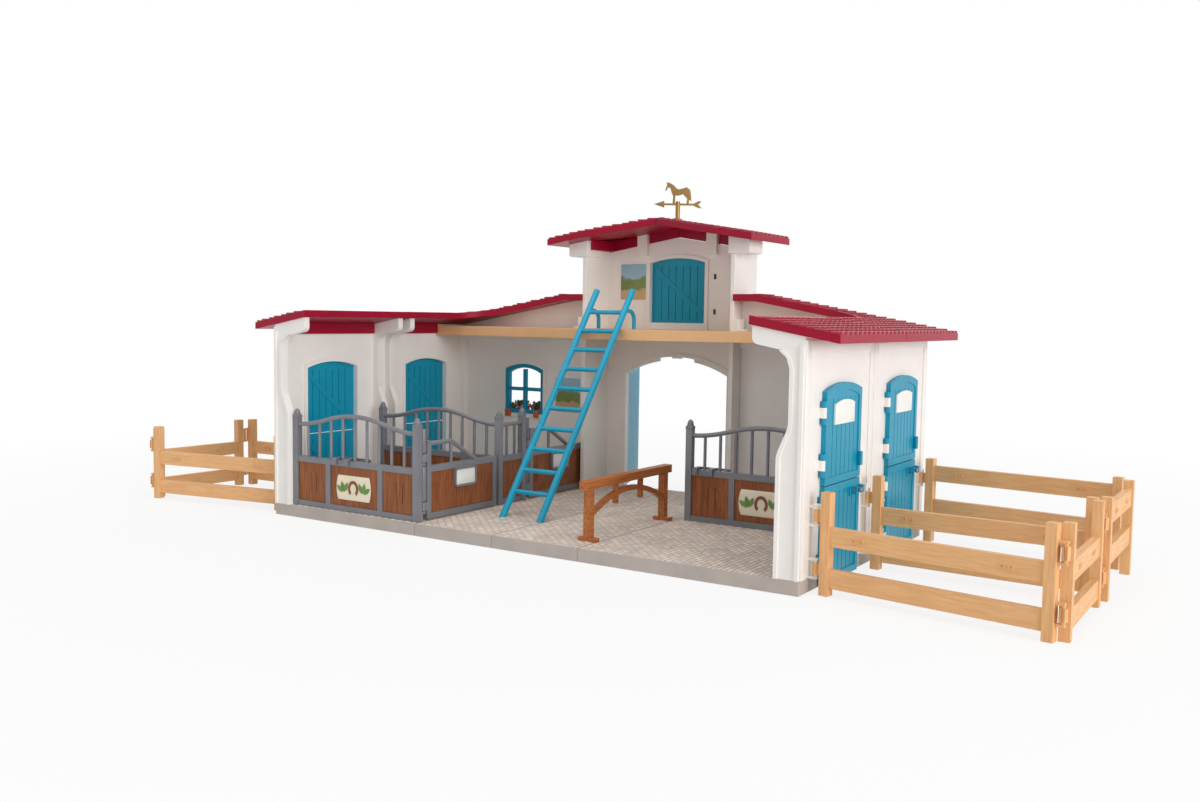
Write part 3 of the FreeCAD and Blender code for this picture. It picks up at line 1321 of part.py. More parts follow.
def fences():
    wall = HALF_WIDTH + WALL_LINK_OUT
    front = V(wall, FRONT + WALL_LINK_INSET, 0)
    middle = V(wall, -WALL_LINK_INSET, 0)
    rear = V(wall, BACK - WALL_LINK_INSET, 0)
    front_left = V(-front.x, front.y, 0)
    middle_left = V(-middle.x, middle.y, 0)
    turn = -FENCE_FRONT_TURN
    corner = far_axis(front, FENCE_LONG, turn)
    end = far_axis(middle, FENCE_LONG, -FENCE_MIDDLE_TURN)
    corner_left = V(-corner.x, corner.y, 0)
    return {"fence_right_front": placed_fence(front, FENCE_LONG, turn),
            "fence_right_side_front": placed_fence(corner, FENCE_SHORT, 90),
            "fence_right_middle": placed_fence(middle, FENCE_LONG, -FENCE_MIDDLE_TURN),
            "fence_right_side_rear": placed_fence(end, FENCE_SHORT, 90, True),
            "fence_right_rear": placed_fence(rear, FENCE_LONG, -FENCE_REAR_TURN, True),
            "fence_left_front": placed_fence(front_left, FENCE_LONG, 180 + FENCE_FRONT_TURN),
            "fence_left_side": placed_fence(corner_left, FENCE_SHORT, 90),
            "fence_left_rear": placed_fence(middle_left, FENCE_LONG, 180 + FENCE_MIDDLE_TURN)}


def main():
    os.makedirs("parts", exist_ok=True)
    pieces = {}
    for group in (floor_plates, wings, back_walls, tower, roofs, stalls, fences):
        pieces.update(group())
    pieces["loft_floor"] = loft_floor()
    pieces["vane_post"] = vane_post()
    pieces["weather_vane"] = weather_vane()
    pieces["ladder"] = ladder()
    pieces["hitching_rail"] = hitching_rail()
    for name in sorted(pieces):
        shape = pieces[name]
        export(name, shape)
        state = "valid" if shape.isValid() else "BAD"
        print(name, len(shape.Solids), "solids", round(shape.Volume), "mm3", state)


main()
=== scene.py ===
"""Looks of a toy horse stable: finishes, cobbles, tiles, trim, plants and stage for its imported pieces."""

import json
import math
import random

import bmesh
import bpy
from bpy.props import FloatProperty, FloatVectorProperty, PointerProperty
from mathutils import Matrix, Vector

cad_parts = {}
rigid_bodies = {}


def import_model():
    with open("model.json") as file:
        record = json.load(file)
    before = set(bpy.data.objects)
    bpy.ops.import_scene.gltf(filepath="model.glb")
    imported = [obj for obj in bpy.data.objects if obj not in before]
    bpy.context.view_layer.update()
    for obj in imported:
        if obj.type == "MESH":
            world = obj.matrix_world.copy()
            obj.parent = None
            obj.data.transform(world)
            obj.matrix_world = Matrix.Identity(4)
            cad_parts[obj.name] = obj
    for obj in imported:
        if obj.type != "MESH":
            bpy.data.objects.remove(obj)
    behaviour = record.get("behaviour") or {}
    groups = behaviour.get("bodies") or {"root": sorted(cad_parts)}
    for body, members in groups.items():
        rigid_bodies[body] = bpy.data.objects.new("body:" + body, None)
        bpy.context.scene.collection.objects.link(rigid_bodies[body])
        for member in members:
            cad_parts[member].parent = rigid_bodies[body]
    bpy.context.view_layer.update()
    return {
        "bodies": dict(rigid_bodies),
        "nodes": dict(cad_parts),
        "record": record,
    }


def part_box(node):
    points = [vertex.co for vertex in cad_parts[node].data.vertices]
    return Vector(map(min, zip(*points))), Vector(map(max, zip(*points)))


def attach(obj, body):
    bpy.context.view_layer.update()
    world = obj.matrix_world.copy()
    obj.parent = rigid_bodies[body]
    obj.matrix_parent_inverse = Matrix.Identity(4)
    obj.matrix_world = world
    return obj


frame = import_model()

bl_info = {
    "name": "Toy Horse Stable",
    "version": (1, 0, 0),
    "blender": (4, 5, 0),
    "location": "3D View > Sidebar > Stable",
    "description": "Finishes and detail pieces of a toy horse stable",
    "category": "Object",
}

MM = 0.001
ROOT = "stable"
RIGHT, UP, BACKWARD = Vector((1, 0, 0)), Vector((0, 0, 1)), Vector((0, 1, 0))
SIDES = {"right": 1, "left": -1}

# Places read from the frame
FLOOR_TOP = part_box("floor_left")[1].z
FRONT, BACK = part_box("floor_left")[0].y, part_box("floor_left")[1].y
HALF_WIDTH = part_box("floor_right")[1].x
PANEL_LENGTH = -FRONT
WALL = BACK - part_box("window_frames")[0].y
GATE_GAP = 0.5 * MM
BAY_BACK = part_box("arch_gate_right")[0].y - GATE_GAP
JOINTS = frame["record"]["behaviour"]["joints"]
HINGES = {joint["child"]: Vector(joint["pos_m"]) for joint in JOINTS if joint["type"] == "hinge"}
CLOSED = {joint["child"]: joint["range_deg"][0] for joint in JOINTS
          if joint["child"].startswith("arch_gate")}

# Side of each wing panel, and how many panel lengths it is moved back before the turn to that side
WINGS = {"right_front": (1, 0), "right_rear": (1, 1), "left_rear": (-1, 0), "left_front": (-1, 1)}

# Outer face of a door leaf or gate leaf, out from its wall
LEAF_FACE = 3.55 * MM
# Depth to which trim sinks into the face that carries it
SINK = 0.2 * MM
# Edges that turn by more degrees than this are shaded sharp
CREASE = 38


def srgb(red, green, blue):
    """Linear colour of a display colour given from 0 to 255."""
    def linear(value):
        share = value / 255
        return share / 12.92 if share <= 0.04045 else ((share + 0.055) / 1.055) ** 2.4
    return (linear(red), linear(green), linear(blue))


def length(name, description, default):
    return FloatProperty(name=name, description=description, default=default, min=0, unit="LENGTH",
                         precision=5)


def colour(name, description, default):
    return FloatVectorProperty(name=name, description=description, default=default, min=0, max=1, size=3,
                               subtype="COLOR")


def angle(name, description, default):
    return FloatProperty(name=name, description=description, default=math.radians(default), subtype="ANGLE")


def power(name, description, default):
    return FloatProperty(name=name, description=description, default=default, min=0, subtype="POWER")


class StableFinishes(bpy.types.PropertyGroup):
    """Colours of the stable's finishes."""
    wall: colour("Wall", "White of the walls", srgb(243, 239, 234))
    roof: colour("Roof", "Raspberry of the roof plates and tiles", srgb(158, 10, 46))
    teal: colour("Doors", "Teal of doors, gates and windows", srgb(8, 148, 180))
    ladder: colour("Ladder", "Brighter teal of the ladder", srgb(12, 160, 194))
    loft: colour("Loft", "Tan of the loft floor", srgb(236, 186, 134))
    stone: colour("Stone", "Warm grey of the floor plates", srgb(182, 172, 164))
    cobble: colour("Cobble", "Paler grey of the cobbles", srgb(224, 208, 194))
    iron: colour("Iron grey", "Grey of stall frames", srgb(124, 125, 131))
    board_pale: colour("Board, pale", "Pale grain of the stall boards", srgb(162, 98, 56))
    board_dark: colour("Board, dark", "Dark grain of the stall boards", srgb(124, 70, 38))
    fence_pale: colour("Fence, pale", "Pale grain of the fences", srgb(240, 190, 135))
    fence_dark: colour("Fence, dark", "Dark grain of the fences", srgb(226, 172, 117))
    rail_pale: colour("Rail, pale", "Pale grain of the hitching rail", srgb(194, 118, 62))
    rail_dark: colour("Rail, dark", "Dark grain of the hitching rail", srgb(164, 94, 46))
    gold: colour("Gold", "Gold paint of the weather vane", srgb(150, 119, 68))
    clay: colour("Clay", "Clay of the flower pots", srgb(190, 96, 58))
    leaf: colour("Leaf", "Green of the plants", srgb(86, 138, 58))
    blossom: colour("Blossom", "Pink of the blossoms", srgb(238, 150, 176))
    card: colour("Card", "White of signs and name plates", srgb(244, 243, 238))
    bolt: colour("Bolt", "Grey of the door bolts", srgb(128, 132, 138))
    cream: colour("Cream", "Cream of the stall plaques", srgb(240, 230, 204))
    shoe: colour("Horseshoe", "Brown of the horseshoe on a plaque", srgb(132, 74, 36))
    sprig: colour("Sprig", "Green of the leaves on a plaque", srgb(104, 140, 62))
    sky: colour("Picture, upper", "Upper field of a wall picture", srgb(152, 192, 210))
    meadow: colour("Picture, lower", "Lower field of a wall picture", srgb(120, 138, 70))
    sand: colour("Picture, foot", "Foot of a wall picture", srgb(202, 170, 124))
    # Painted shade: a dark tone standing in for the shaded inside of a hinge pocket
    pocket: colour("Pocket", "Dark inside of a hinge pocket", srgb(44, 44, 46))


class StableSizes(bpy.types.PropertyGroup):
    """Sizes of the detail pieces."""
    edge_round: length("Edge rounding", "Rounding of moulded edges", 0.35 * MM)
    tile_pitch: length("Tile pitch", "Roof tile spacing along the eave", 8.6 * MM)
    tile_row: length("Tile row", "Roof tile spacing up the slope", 8.6 * MM)
    tile_width: length("Tile width", "Width of a roof tile", 6.6 * MM)
    tile_proud: length("Tile height", "Height of a tile's lower edge", 1.9 * MM)
    cobble_length: length("Cobble length", "Cobble spacing front to back", 8.0 * MM)
    cobble_width: length("Cobble width", "Cobble spacing side to side", 4.0 * MM)
    cobble_gap: length("Cobble gap", "Joint between cobbles", 0.9 * MM)
    cobble_proud: length("Cobble height", "Height of the cobbles over the plates", 0.3 * MM)
    strip_width: length("Strip width", "Raised strips on the outer walls", 8.0 * MM)
    strip_proud: length("Strip height", "Height of the raised strips", 1.2 * MM)
    surround_width: length("Surround width", "Raised band round an opening", 3.6 * MM)
    surround_proud: length("Surround height", "Height of the raised bands", 1.3 * MM)
    sign_width: length("Sign width", "Blank sign on a door", 36 * MM)
    sign_high: length("Sign height", "Blank sign on a door, to its spring line", 14 * MM)
    plate_width: length("Name plate width", "Blank name plate on a stall gate", 28 * MM)
    plate_high: length("Name plate height", "Blank name plate on a stall gate", 16 * MM)
    plaque_width: length("Plaque width", "Plaque on a stall panel, along its straight edges", 36 * MM)
    plaque_high: length("Plaque height", "Plaque on a stall panel", 21 * MM)


class StableStage(bpy.types.PropertyGroup):
    """Camera and lights."""
    camera: FloatVectorProperty(name="Camera", description="Camera place", size=3, subtype="XYZ",
                                unit="LENGTH", default=(0.52818, -0.79236, 0.17854))
    yaw: angle("Yaw", "Turn of the view to the left", 33.15)
    pitch: angle("Pitch", "Tilt of the view downwards", 4.27)
    roll: angle("Roll", "Roll of the view", 0.82)
    lens: FloatProperty(name="Lens", description="Focal length on a 36 mm wide frame", default=33.29,
                        subtype="DISTANCE_CAMERA")
    key: power("Key light", "Power of the large light", 48)
    fill: power("Fill light", "Power of the front light", 2)
    top: power("Top light", "Power of the light above", 22)
    sky: FloatProperty(name="Sky", description="Strength of the even light from all round", default=0.5,
                       min=0)
    paper: colour("Paper", "Pale floor", (0.86, 0.86, 0.86))
    glow: FloatProperty(name="Floor white", description="Share of plain white in the floor beside the stable",
                        default=0.8, min=0, max=1, subtype="FACTOR")
    glow_from: length("White from", "Distance at which the floor starts to turn white", 0.38)
    glow_to: length("White at", "Distance at which the floor is all white", 0.95)


PROPERTY_GROUPS = (StableFinishes, StableSizes, StableStage)


def finishes():
    return bpy.context.scene.stable_finishes


def sizes():
    return bpy.context.scene.stable_sizes


# Node trees

# Most values of a noise texture lie between these, and those of a fine one between the second pair
NOISE_LOW, NOISE_HIGH = 0.3, 0.7
FINE_LOW, FINE_HIGH = 0.25, 0.75
# Share by which gloss is uneven on a moulded surface
GLOSS_SPREAD = 0.14
# Noise values between which wood turns from a dark line to a pale one, and the least weight of the pale ones
LINE_LOW, LINE_HIGH = 0.4, 0.58
PALE_LEAST = 0.55
# Roughness of the dark and the pale lines of wood, as shares
DARK_ROUGH, PALE_ROUGH = 1.15, 0.9
GRAIN_SPECULAR = 0.3
# Turn that stands wood grain upright
UPRIGHT = (0, math.radians(90), 0)


def put(tree, kind, inputs=None, **settings):
    """A new node with its settings, and inputs that are values or links from other nodes."""
    node = tree.nodes.new(kind)
    for name, value in settings.items():
        setattr(node, name, value)
    for name, value in (inputs or {}).items():
        if isinstance(value, bpy.types.NodeSocket):
            tree.links.new(value, node.inputs[name])
        else:
            node.inputs[name].default_value = value
    return node


def group(name, inputs, outputs):
    """A new shader node group with named sockets, and its input and output nodes."""
    tree = bpy.data.node_groups.new(name, "ShaderNodeTree")
    for label, kind, default in inputs:
        socket = tree.interface.new_socket(name=label, in_out="INPUT", socket_type=kind)
        socket.default_value = default
    for label, kind in outputs:
        tree.interface.new_socket(name=label, in_out="OUTPUT", socket_type=kind)
    return tree, put(tree, "NodeGroupInput"), put(tree, "NodeGroupOutput")


def remap(tree, value, low, high, to_low, to_high):
    limits = {"From Min": low, "From Max": high, "To Min": to_low, "To Max": to_high}
    return put(tree, "ShaderNodeMapRange", {"Value": value, **limits}).outputs["Result"]


def maths(tree, operation, *values):
    """Result of a sum on values or links."""
    return put(tree, "ShaderNodeMath", dict(enumerate(values)), operation=operation).outputs[0]


def mixed(tree, share, first, second, kind="RGBA"):
    node = put(tree, "ShaderNodeMix", {"Factor": share, "A": first, "B": second}, data_type=kind)
    return node.outputs["Result"]


def dimmed(tree, tint, share):
    """A colour scaled by a share that changes over the surface."""
    return put(tree, "ShaderNodeVectorMath", {0: tint, "Scale": share}, operation="SCALE").outputs[0]


def object_coords(tree):
    return put(tree, "ShaderNodeTexCoord").outputs["Object"]


def moulded_surface():
    """Cloudy colour, uneven gloss and skin grain of a moulded surface."""
    if "Moulded Surface" in bpy.data.node_groups:
        return bpy.data.node_groups["Moulded Surface"]
    tree, given, out = group(
        "Moulded Surface",
        [("Colour", "NodeSocketColor", (1, 1, 1, 1)), ("Shade", "NodeSocketFloat", 0.05),
         ("Grain Scale", "NodeSocketFloat", 900.0), ("Roughness", "NodeSocketFloat", 0.4)],
        [("Colour", "NodeSocketColor"), ("Roughness", "NodeSocketFloat"), ("Height", "NodeSocketFloat")])
    coords = object_coords(tree)
    clouds = put(tree, "ShaderNodeTexNoise",
                 {"Vector": coords, "Scale": 38.0, "Detail": 4.0, "Roughness": 0.6}).outputs["Fac"]
    grain = put(tree, "ShaderNodeTexNoise",
                {"Vector": coords, "Scale": given.outputs["Grain Scale"], "Detail": 2.0}).outputs["Fac"]
    less = maths(tree, "SUBTRACT", 1.0, given.outputs["Shade"])
    more = maths(tree, "ADD", 1.0, given.outputs["Shade"])
    shade = remap(tree, clouds, NOISE_LOW, NOISE_HIGH, less, more)
    tree.links.new(dimmed(tree, given.outputs["Colour"], shade), out.inputs["Colour"])
    gloss = remap(tree, grain, FINE_LOW, FINE_HIGH, 1 - GLOSS_SPREAD, 1 + GLOSS_SPREAD)
    tree.links.new(maths(tree, "MULTIPLY", gloss, given.outputs["Roughness"]), out.inputs["Roughness"])
    tree.links.new(grain, out.inputs["Height"])
    return tree


def piece_tone():
    """A tone of its own for each loose island of a mesh, such as a tile or a cobble."""
    if "Piece Tone" in bpy.data.node_groups:
        return bpy.data.node_groups["Piece Tone"]
    tree, given, out = group(
        "Piece Tone", [("Colour", "NodeSocketColor", (1, 1, 1, 1)), ("Spread", "NodeSocketFloat", 0.1)],
        [("Colour", "NodeSocketColor")])
    chance = put(tree, "ShaderNodeNewGeometry").outputs["Random Per Island"]
    centred = remap(tree, chance, 0.0, 1.0, -1.0, 1.0)
    share = maths(tree, "ADD", maths(tree, "MULTIPLY", centred, given.outputs["Spread"]), 1.0)
    tree.links.new(dimmed(tree, given.outputs["Colour"], share), out.inputs["Colour"])
    return tree


def wood_grain():
    """Moulded wood grain along X of the vector that it is given."""
    if "Wood Grain" in bpy.data.node_groups:
        return bpy.data.node_groups["Wood Grain"]
    tree, given, out = group(
        "Wood Grain",
        [("Vector", "NodeSocketVector", (0, 0, 0)), ("Pale", "NodeSocketColor", (1, 1, 1, 1)),
         ("Dark", "NodeSocketColor", (0, 0, 0, 1)), ("Lines", "NodeSocketFloat", 420.0),
         ("Stretch", "NodeSocketFloat", 0.07), ("Roughness", "NodeSocketFloat", 0.5)],
        [("Colour", "NodeSocketColor"), ("Roughness", "NodeSocketFloat"), ("Height", "NodeSocketFloat")])
    across = given.outputs["Lines"]
    along = maths(tree, "MULTIPLY", across, given.outputs["Stretch"])
    scale = put(tree, "ShaderNodeCombineXYZ", {"X": along, "Y": across, "Z": across}).outputs[0]
    vector = put(tree, "ShaderNodeVectorMath", {0: given.outputs["Vector"], 1: scale},
                 operation="MULTIPLY").outputs[0]
    streaks = put(tree, "ShaderNodeTexNoise", {"Vector": vector, "Scale": 1.0, "Detail": 5.0,
                                               "Roughness": 0.65, "Distortion": 0.5}).outputs["Fac"]
    broad = put(tree, "ShaderNodeTexNoise", {"Vector": vector, "Scale": 0.23, "Detail": 2.0}).outputs["Fac"]
    lines = remap(tree, streaks, LINE_LOW, LINE_HIGH, 0.0, 1.0)
    bands = remap(tree, broad, NOISE_LOW, NOISE_HIGH, PALE_LEAST, 1.0)
    tint = mixed(tree, maths(tree, "MULTIPLY", lines, bands), given.outputs["Dark"], given.outputs["Pale"])
    tree.links.new(tint, out.inputs["Colour"])
    gloss = remap(tree, streaks, NOISE_LOW, NOISE_HIGH, DARK_ROUGH, PALE_ROUGH)
    tree.links.new(maths(tree, "MULTIPLY", gloss, given.outputs["Roughness"]), out.inputs["Roughness"])
    tree.links.new(lines, out.inputs["Height"])
    return tree


def blank(name):
    """A new material with its tree and shader."""
    material = bpy.data.materials.new(name)
    material.use_nodes = True
    return material, material.node_tree, material.node_tree.nodes["Principled BSDF"]


def roughen(tree, shader, height, depth, strength=0.6):
    bump = put(tree, "ShaderNodeBump", {"Height": height, "Distance": depth, "Strength": strength})
    tree.links.new(bump.outputs["Normal"], shader.inputs["Normal"])


def moulded(name, tint, roughness, shade=0.04, grain=1100.0, depth=0.06 * MM, spread=0.0, metallic=0.0,
            coat=0.0, specular=0.5):
    """Moulded plastic; spread gives each loose island its own tone."""
    if name in bpy.data.materials:
        return bpy.data.materials[name]
    material, tree, shader = blank(name)
    surface = put(tree, "ShaderNodeGroup", {"Colour": (*tint, 1), "Shade": shade, "Grain Scale": grain,
                                            "Roughness": roughness}, node_tree=moulded_surface())
    result = surface.outputs["Colour"]
    if spread:
        tone = put(tree, "ShaderNodeGroup", {"Colour": result, "Spread": spread}, node_tree=piece_tone())
        result = tone.outputs["Colour"]
    tree.links.new(result, shader.inputs["Base Color"])
    tree.links.new(surface.outputs["Roughness"], shader.inputs["Roughness"])
    shader.inputs["Metallic"].default_value = metallic
    shader.inputs["Coat Weight"].default_value = coat
    shader.inputs["Specular IOR Level"].default_value = specular
    roughen(tree, shader, surface.outputs["Height"], depth)
    return material


def grain_nodes(tree, vector, pale, dark, lines, roughness):
    return put(tree, "ShaderNodeGroup", {"Vector": vector, "Pale": (*pale, 1), "Dark": (*dark, 1),
                                         "Lines": lines, "Roughness": roughness}, node_tree=wood_grain())


def turned_coords(tree, place, turn):
    """Object coordinates seen from a place and turned, so that X runs along the grain."""
    inputs = {"Vector": object_coords(tree), "Location": place, "Rotation": turn}
    return put(tree, "ShaderNodeMapping", inputs, vector_type="TEXTURE").outputs[0]


def wood(name, pale, dark, turn=(0, 0, 0), lines=420.0, roughness=0.5, depth=0.18 * MM):
    """Plastic with moulded wood grain in one direction."""
    if name in bpy.data.materials:
        return bpy.data.materials[name]
    material, tree, shader = blank(name)
    grain = grain_nodes(tree, turned_coords(tree, (0, 0, 0), turn), pale, dark, lines, roughness)
    tree.links.new(grain.outputs["Colour"], shader.inputs["Base Color"])
    tree.links.new(grain.outputs["Roughness"], shader.inputs["Roughness"])
    shader.inputs["Specular IOR Level"].default_value = GRAIN_SPECULAR
    roughen(tree, shader, grain.outputs["Height"], depth)
    return material


def framed_wood(name, pale, dark, place, turn, half, roughness=0.5, lines=420.0, depth=0.18 * MM):
    """Wood grain along a panel's rails, and upright on what lies further than half from its middle."""
    material, tree, shader = blank(name)
    coords = turned_coords(tree, place, (0, 0, turn))
    upright = put(tree, "ShaderNodeMapping", {"Vector": coords, "Rotation": UPRIGHT}).outputs[0]
    rail = grain_nodes(tree, coords, pale, dark, lines, roughness)
    post = grain_nodes(tree, upright, pale, dark, lines, roughness)
    across = put(tree, "ShaderNodeSeparateXYZ", {"Vector": coords}).outputs["X"]
    mask = maths(tree, "GREATER_THAN", maths(tree, "ABSOLUTE", across), half)
    tint = mixed(tree, mask, rail.outputs["Colour"], post.outputs["Colour"])
    height = mixed(tree, mask, rail.outputs["Height"], post.outputs["Height"], "FLOAT")
    tree.links.new(tint, shader.inputs["Base Color"])
    tree.links.new(rail.outputs["Roughness"], shader.inputs["Roughness"])
    shader.inputs["Specular IOR Level"].default_value = GRAIN_SPECULAR
    roughen(tree, shader, height, depth)
    return material


def wall_finish():
    return moulded("white_plastic", finishes().wall, roughness=0.42, shade=0.025, grain=900.0,
                   depth=0.05 * MM)


# Painted shade for the insides of the hinge pockets beside the loft door
def painted_shade_finish():
    return moulded("pocket_dark", finishes().pocket, roughness=0.6, shade=0.1)


def stone_finish():
    return moulded("stone_plate", finishes().stone, roughness=0.6, shade=0.08, grain=700.0, depth=0.12 * MM)


def cobble_finish():
    return moulded("cobble_stone", finishes().cobble, roughness=0.62, shade=0.1, grain=900.0, depth=0.15 * MM,
                   spread=0.16)


def roof_finish():
    return moulded("raspberry_plate", finishes().roof, roughness=0.34, shade=0.07, specular=0.2)


def tile_finish():
    return moulded("roof_tile", finishes().roof, roughness=0.2, shade=0.08, spread=0.14)


def teal_finish():
    return moulded("teal_plastic", finishes().teal, roughness=0.36, shade=0.06, grain=700.0, depth=0.08 * MM,
                   specular=0.3)


def steel_finish():
    return moulded("bolt_steel", finishes().bolt, roughness=0.32, shade=0.05, metallic=0.3)


def card_finish():
    return moulded("blank_card", finishes().card, roughness=0.3, shade=0.015, grain=500.0, depth=0.01 * MM)


def clay_finish():
    return moulded("pot_clay", finishes().clay, roughness=0.6, shade=0.1, depth=0.1 * MM)


def leaf_finish():
    return moulded("leaf_green", finishes().leaf, roughness=0.45, shade=0.15, spread=0.3)


def blossom_finish():
    return moulded("blossom_pink", finishes().blossom, roughness=0.4, shade=0.08, spread=0.2)


def loft_finish():
    return moulded("tan_plastic", finishes().loft, roughness=0.45, shade=0.05, grain=600.0, depth=0.08 * MM)


def ladder_finish():
    return moulded("ladder_teal", finishes().ladder, roughness=0.26, shade=0.05, depth=0.03 * MM, coat=0.08,
                   specular=0.35)


def iron_finish():
    return moulded("iron_plastic", finishes().iron, roughness=0.33, shade=0.1, grain=1400.0, depth=0.1 * MM)


def board_finish():
    return wood("brown_boards", finishes().board_pale, finishes().board_dark, UPRIGHT, lines=560.0,
                roughness=0.46)


def gold_finish():
    return moulded("gold_paint", finishes().gold, roughness=0.34, shade=0.14, metallic=0.7)


# Mesh building

def facing(origin, across, up):
    """Frame at origin with U along across, V along up and W out of the face."""
    out = across.cross(up)
    frame_matrix = Matrix((across, up, out)).transposed().to_4x4()
    frame_matrix.translation = origin
    return frame_matrix


def turn_z(degrees):
    return Matrix.Rotation(math.radians(degrees), 4, "Z")


def soften(bm, edges, offset, clamp=True):
    bmesh.ops.bevel(bm, geom=edges, offset=offset, segments=2, profile=0.5, affect="EDGES",
                    clamp_overlap=clamp)


def block(bm, low, high, soft=0.0, place=Matrix()):
    """Box between two corners of a frame, with rounded edges."""
    verts = bmesh.ops.create_cube(bm, size=1)["verts"]
    low, high = Vector(low), Vector(high)
    for vert in verts:
        share = [c + 0.5 for c in vert.co]
        vert.co = place @ Vector([a + (b - a) * s for a, b, s in zip(low, high, share)])
    if soft:
        soften(bm, list({edge for vert in verts for edge in vert.link_edges}), soft)


def slab(bm, outline, low, high, place, soft=0.0):
    """Flat piece of an outline in U and V, from W low to W high, with a rounded upper rim."""
    floor = [bm.verts.new(place @ Vector((u, v, low))) for u, v in outline]
    lid = [bm.verts.new(place @ Vector((u, v, high))) for u, v in outline]
    bm.faces.new(list(reversed(floor)))
    bm.faces.new(lid)
    for i in range(len(outline)):
        j = (i + 1) % len(outline)
        bm.faces.new((floor[i], floor[j], lid[j], lid[i]))
    if soft:
        soften(bm, [bm.edges.get((lid[i - 1], lid[i])) for i in range(len(lid))], soft)


def band(bm, inner, outer, low, high, place, closed=False):
    """Strip between two lines of as many points, from W low to W high."""
    def ring(u, v):
        return [bm.verts.new(place @ Vector((u, v, w))) for w in (low, high)]
    inside = [ring(*point) for point in inner]
    outside = [ring(*point) for point in outer]
    count = len(inner)
    for i in range(count if closed else count - 1):
        j = (i + 1) % count
        a, b, c, d = inside[i], inside[j], outside[j], outside[i]
        bm.faces.new((a[1], b[1], c[1], d[1]))
        bm.faces.new((d[0], c[0], b[0], a[0]))
        bm.faces.new((b[0], b[1], a[1], a[0]))
        bm.faces.new((d[0], d[1], c[1], c[0]))
    if not closed:
        for i in (0, -1):
            bm.faces.new((inside[i][0], inside[i][1], outside[i][1], outside[i][0]))


def ball(bm, radius, place):
    bmesh.ops.create_uvsphere(bm, u_segments=12, v_segments=8, radius=radius, matrix=place)


def arch_round(half, spring, rise):
    """Radius of a flat arch, and the height of its middle."""
    radius = (half * half + rise * rise) / (2 * rise)
    return radius, spring + rise - radius


def arch_line(half, foot, spring, rise, grow=0.0, steps=12):
    """From the left foot over a flat arch to the right foot, as U and V, grown outwards evenly."""
    radius, middle = arch_round(half, spring, rise)
    reach = radius + grow
    spread = math.asin((half + grow) / reach)
    over = [-spread + 2 * spread * i / steps for i in range(steps + 1)]
    return ([(-half - grow, foot)] + [(reach * math.sin(a), middle + reach * math.cos(a)) for a in over]
            + [(half + grow, foot)])


def oval(half_u, half_v, turns):
    """Points of an oval at some turns."""
    return [(half_u * math.cos(a), half_v * math.sin(a)) for a in turns]


def round_rect(width, high, radius, steps=4):
    """Rectangle with round corners about the origin."""
    points = []
    for sign_u, sign_v, start in ((1, -1, -90), (1, 1, 0), (-1, 1, 90), (-1, -1, 180)):
        turns = [math.radians(start + 90 * i / steps) for i in range(steps + 1)]
        points += [(sign_u * (width / 2 - radius) + u, sign_v * (high / 2 - radius) + v)
                   for u, v in oval(radius, radius, turns)]
    return points


def piece(name, bm, body, material, crease=CREASE):
    """Object of a built mesh, riding on a body."""
    bmesh.ops.recalc_face_normals(bm, faces=bm.faces)
    mesh = bpy.data.meshes.new(name)
    bm.to_mesh(mesh)
    bm.free()
    mesh.materials.append(material)
    mesh.shade_smooth()
    mesh.set_sharp_from_angle(angle=math.radians(crease))
    made = bpy.data.objects.new(name, mesh)
    bpy.context.scene.collection.objects.link(made)
    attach(made, body)
    return made


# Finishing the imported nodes

# Vertices closer than this are one
JOIN_GAP = 0.002 * MM
# Degrees below which two faces count as one flat face, and above which an edge is rounded
FLAT_TURN = 0.5
EDGE_TURN = 40


def even_shading():
    """Geometry nodes that join a node's split vertices and shade it smooth except at its edges."""
    if "Even Shading" in bpy.data.node_groups:
        return bpy.data.node_groups["Even Shading"]
    tree = bpy.data.node_groups.new("Even Shading", "GeometryNodeTree")
    tree.interface.new_socket(name="Geometry", in_out="INPUT", socket_type="NodeSocketGeometry")
    tree.interface.new_socket(name="Geometry", in_out="OUTPUT", socket_type="NodeSocketGeometry")
    given, out = put(tree, "NodeGroupInput"), put(tree, "NodeGroupOutput")
    joined = put(tree, "GeometryNodeMergeByDistance", {"Geometry": given.outputs[0], "Distance": JOIN_GAP})
    bare = put(tree, "GeometryNodeRemoveAttribute", {"Geometry": joined.outputs[0], "Name": "custom_normal"})
    faces = put(tree, "GeometryNodeSetShadeSmooth", {"Geometry": bare.outputs[0], "Shade Smooth": True},
                domain="FACE")
    corner = put(tree, "GeometryNodeInputMeshEdgeAngle").outputs["Unsigned Angle"]
    flat = maths(tree, "LESS_THAN", corner, math.radians(CREASE))
    edges = put(tree, "GeometryNodeSetShadeSmooth", {"Geometry": faces.outputs[0], "Shade Smooth": flat},
                domain="EDGE")
    tree.links.new(edges.outputs[0], out.inputs[0])
    return tree


def finish_node(name, material, soft=None, join_flat=True):
    """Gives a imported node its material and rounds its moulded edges; join_flat first joins its flat faces."""
    node = frame["nodes"][name]
    for slot in node.material_slots:
        slot.material = material
    shading = node.modifiers.new("even_shading", "NODES")
    shading.node_group = even_shading()
    if join_flat:
        flat = node.modifiers.new("flat_faces", "DECIMATE")
        flat.decimate_type = "DISSOLVE"
        flat.angle_limit = math.radians(FLAT_TURN)
    bevel = node.modifiers.new("soft_edges", "BEVEL")
    bevel.width = sizes().edge_round if soft is None else soft
    bevel.segments = 2
    bevel.limit_method = "ANGLE"
    bevel.angle_limit = math.radians(EDGE_TURN)
    bevel.harden_normals = True


# Walls

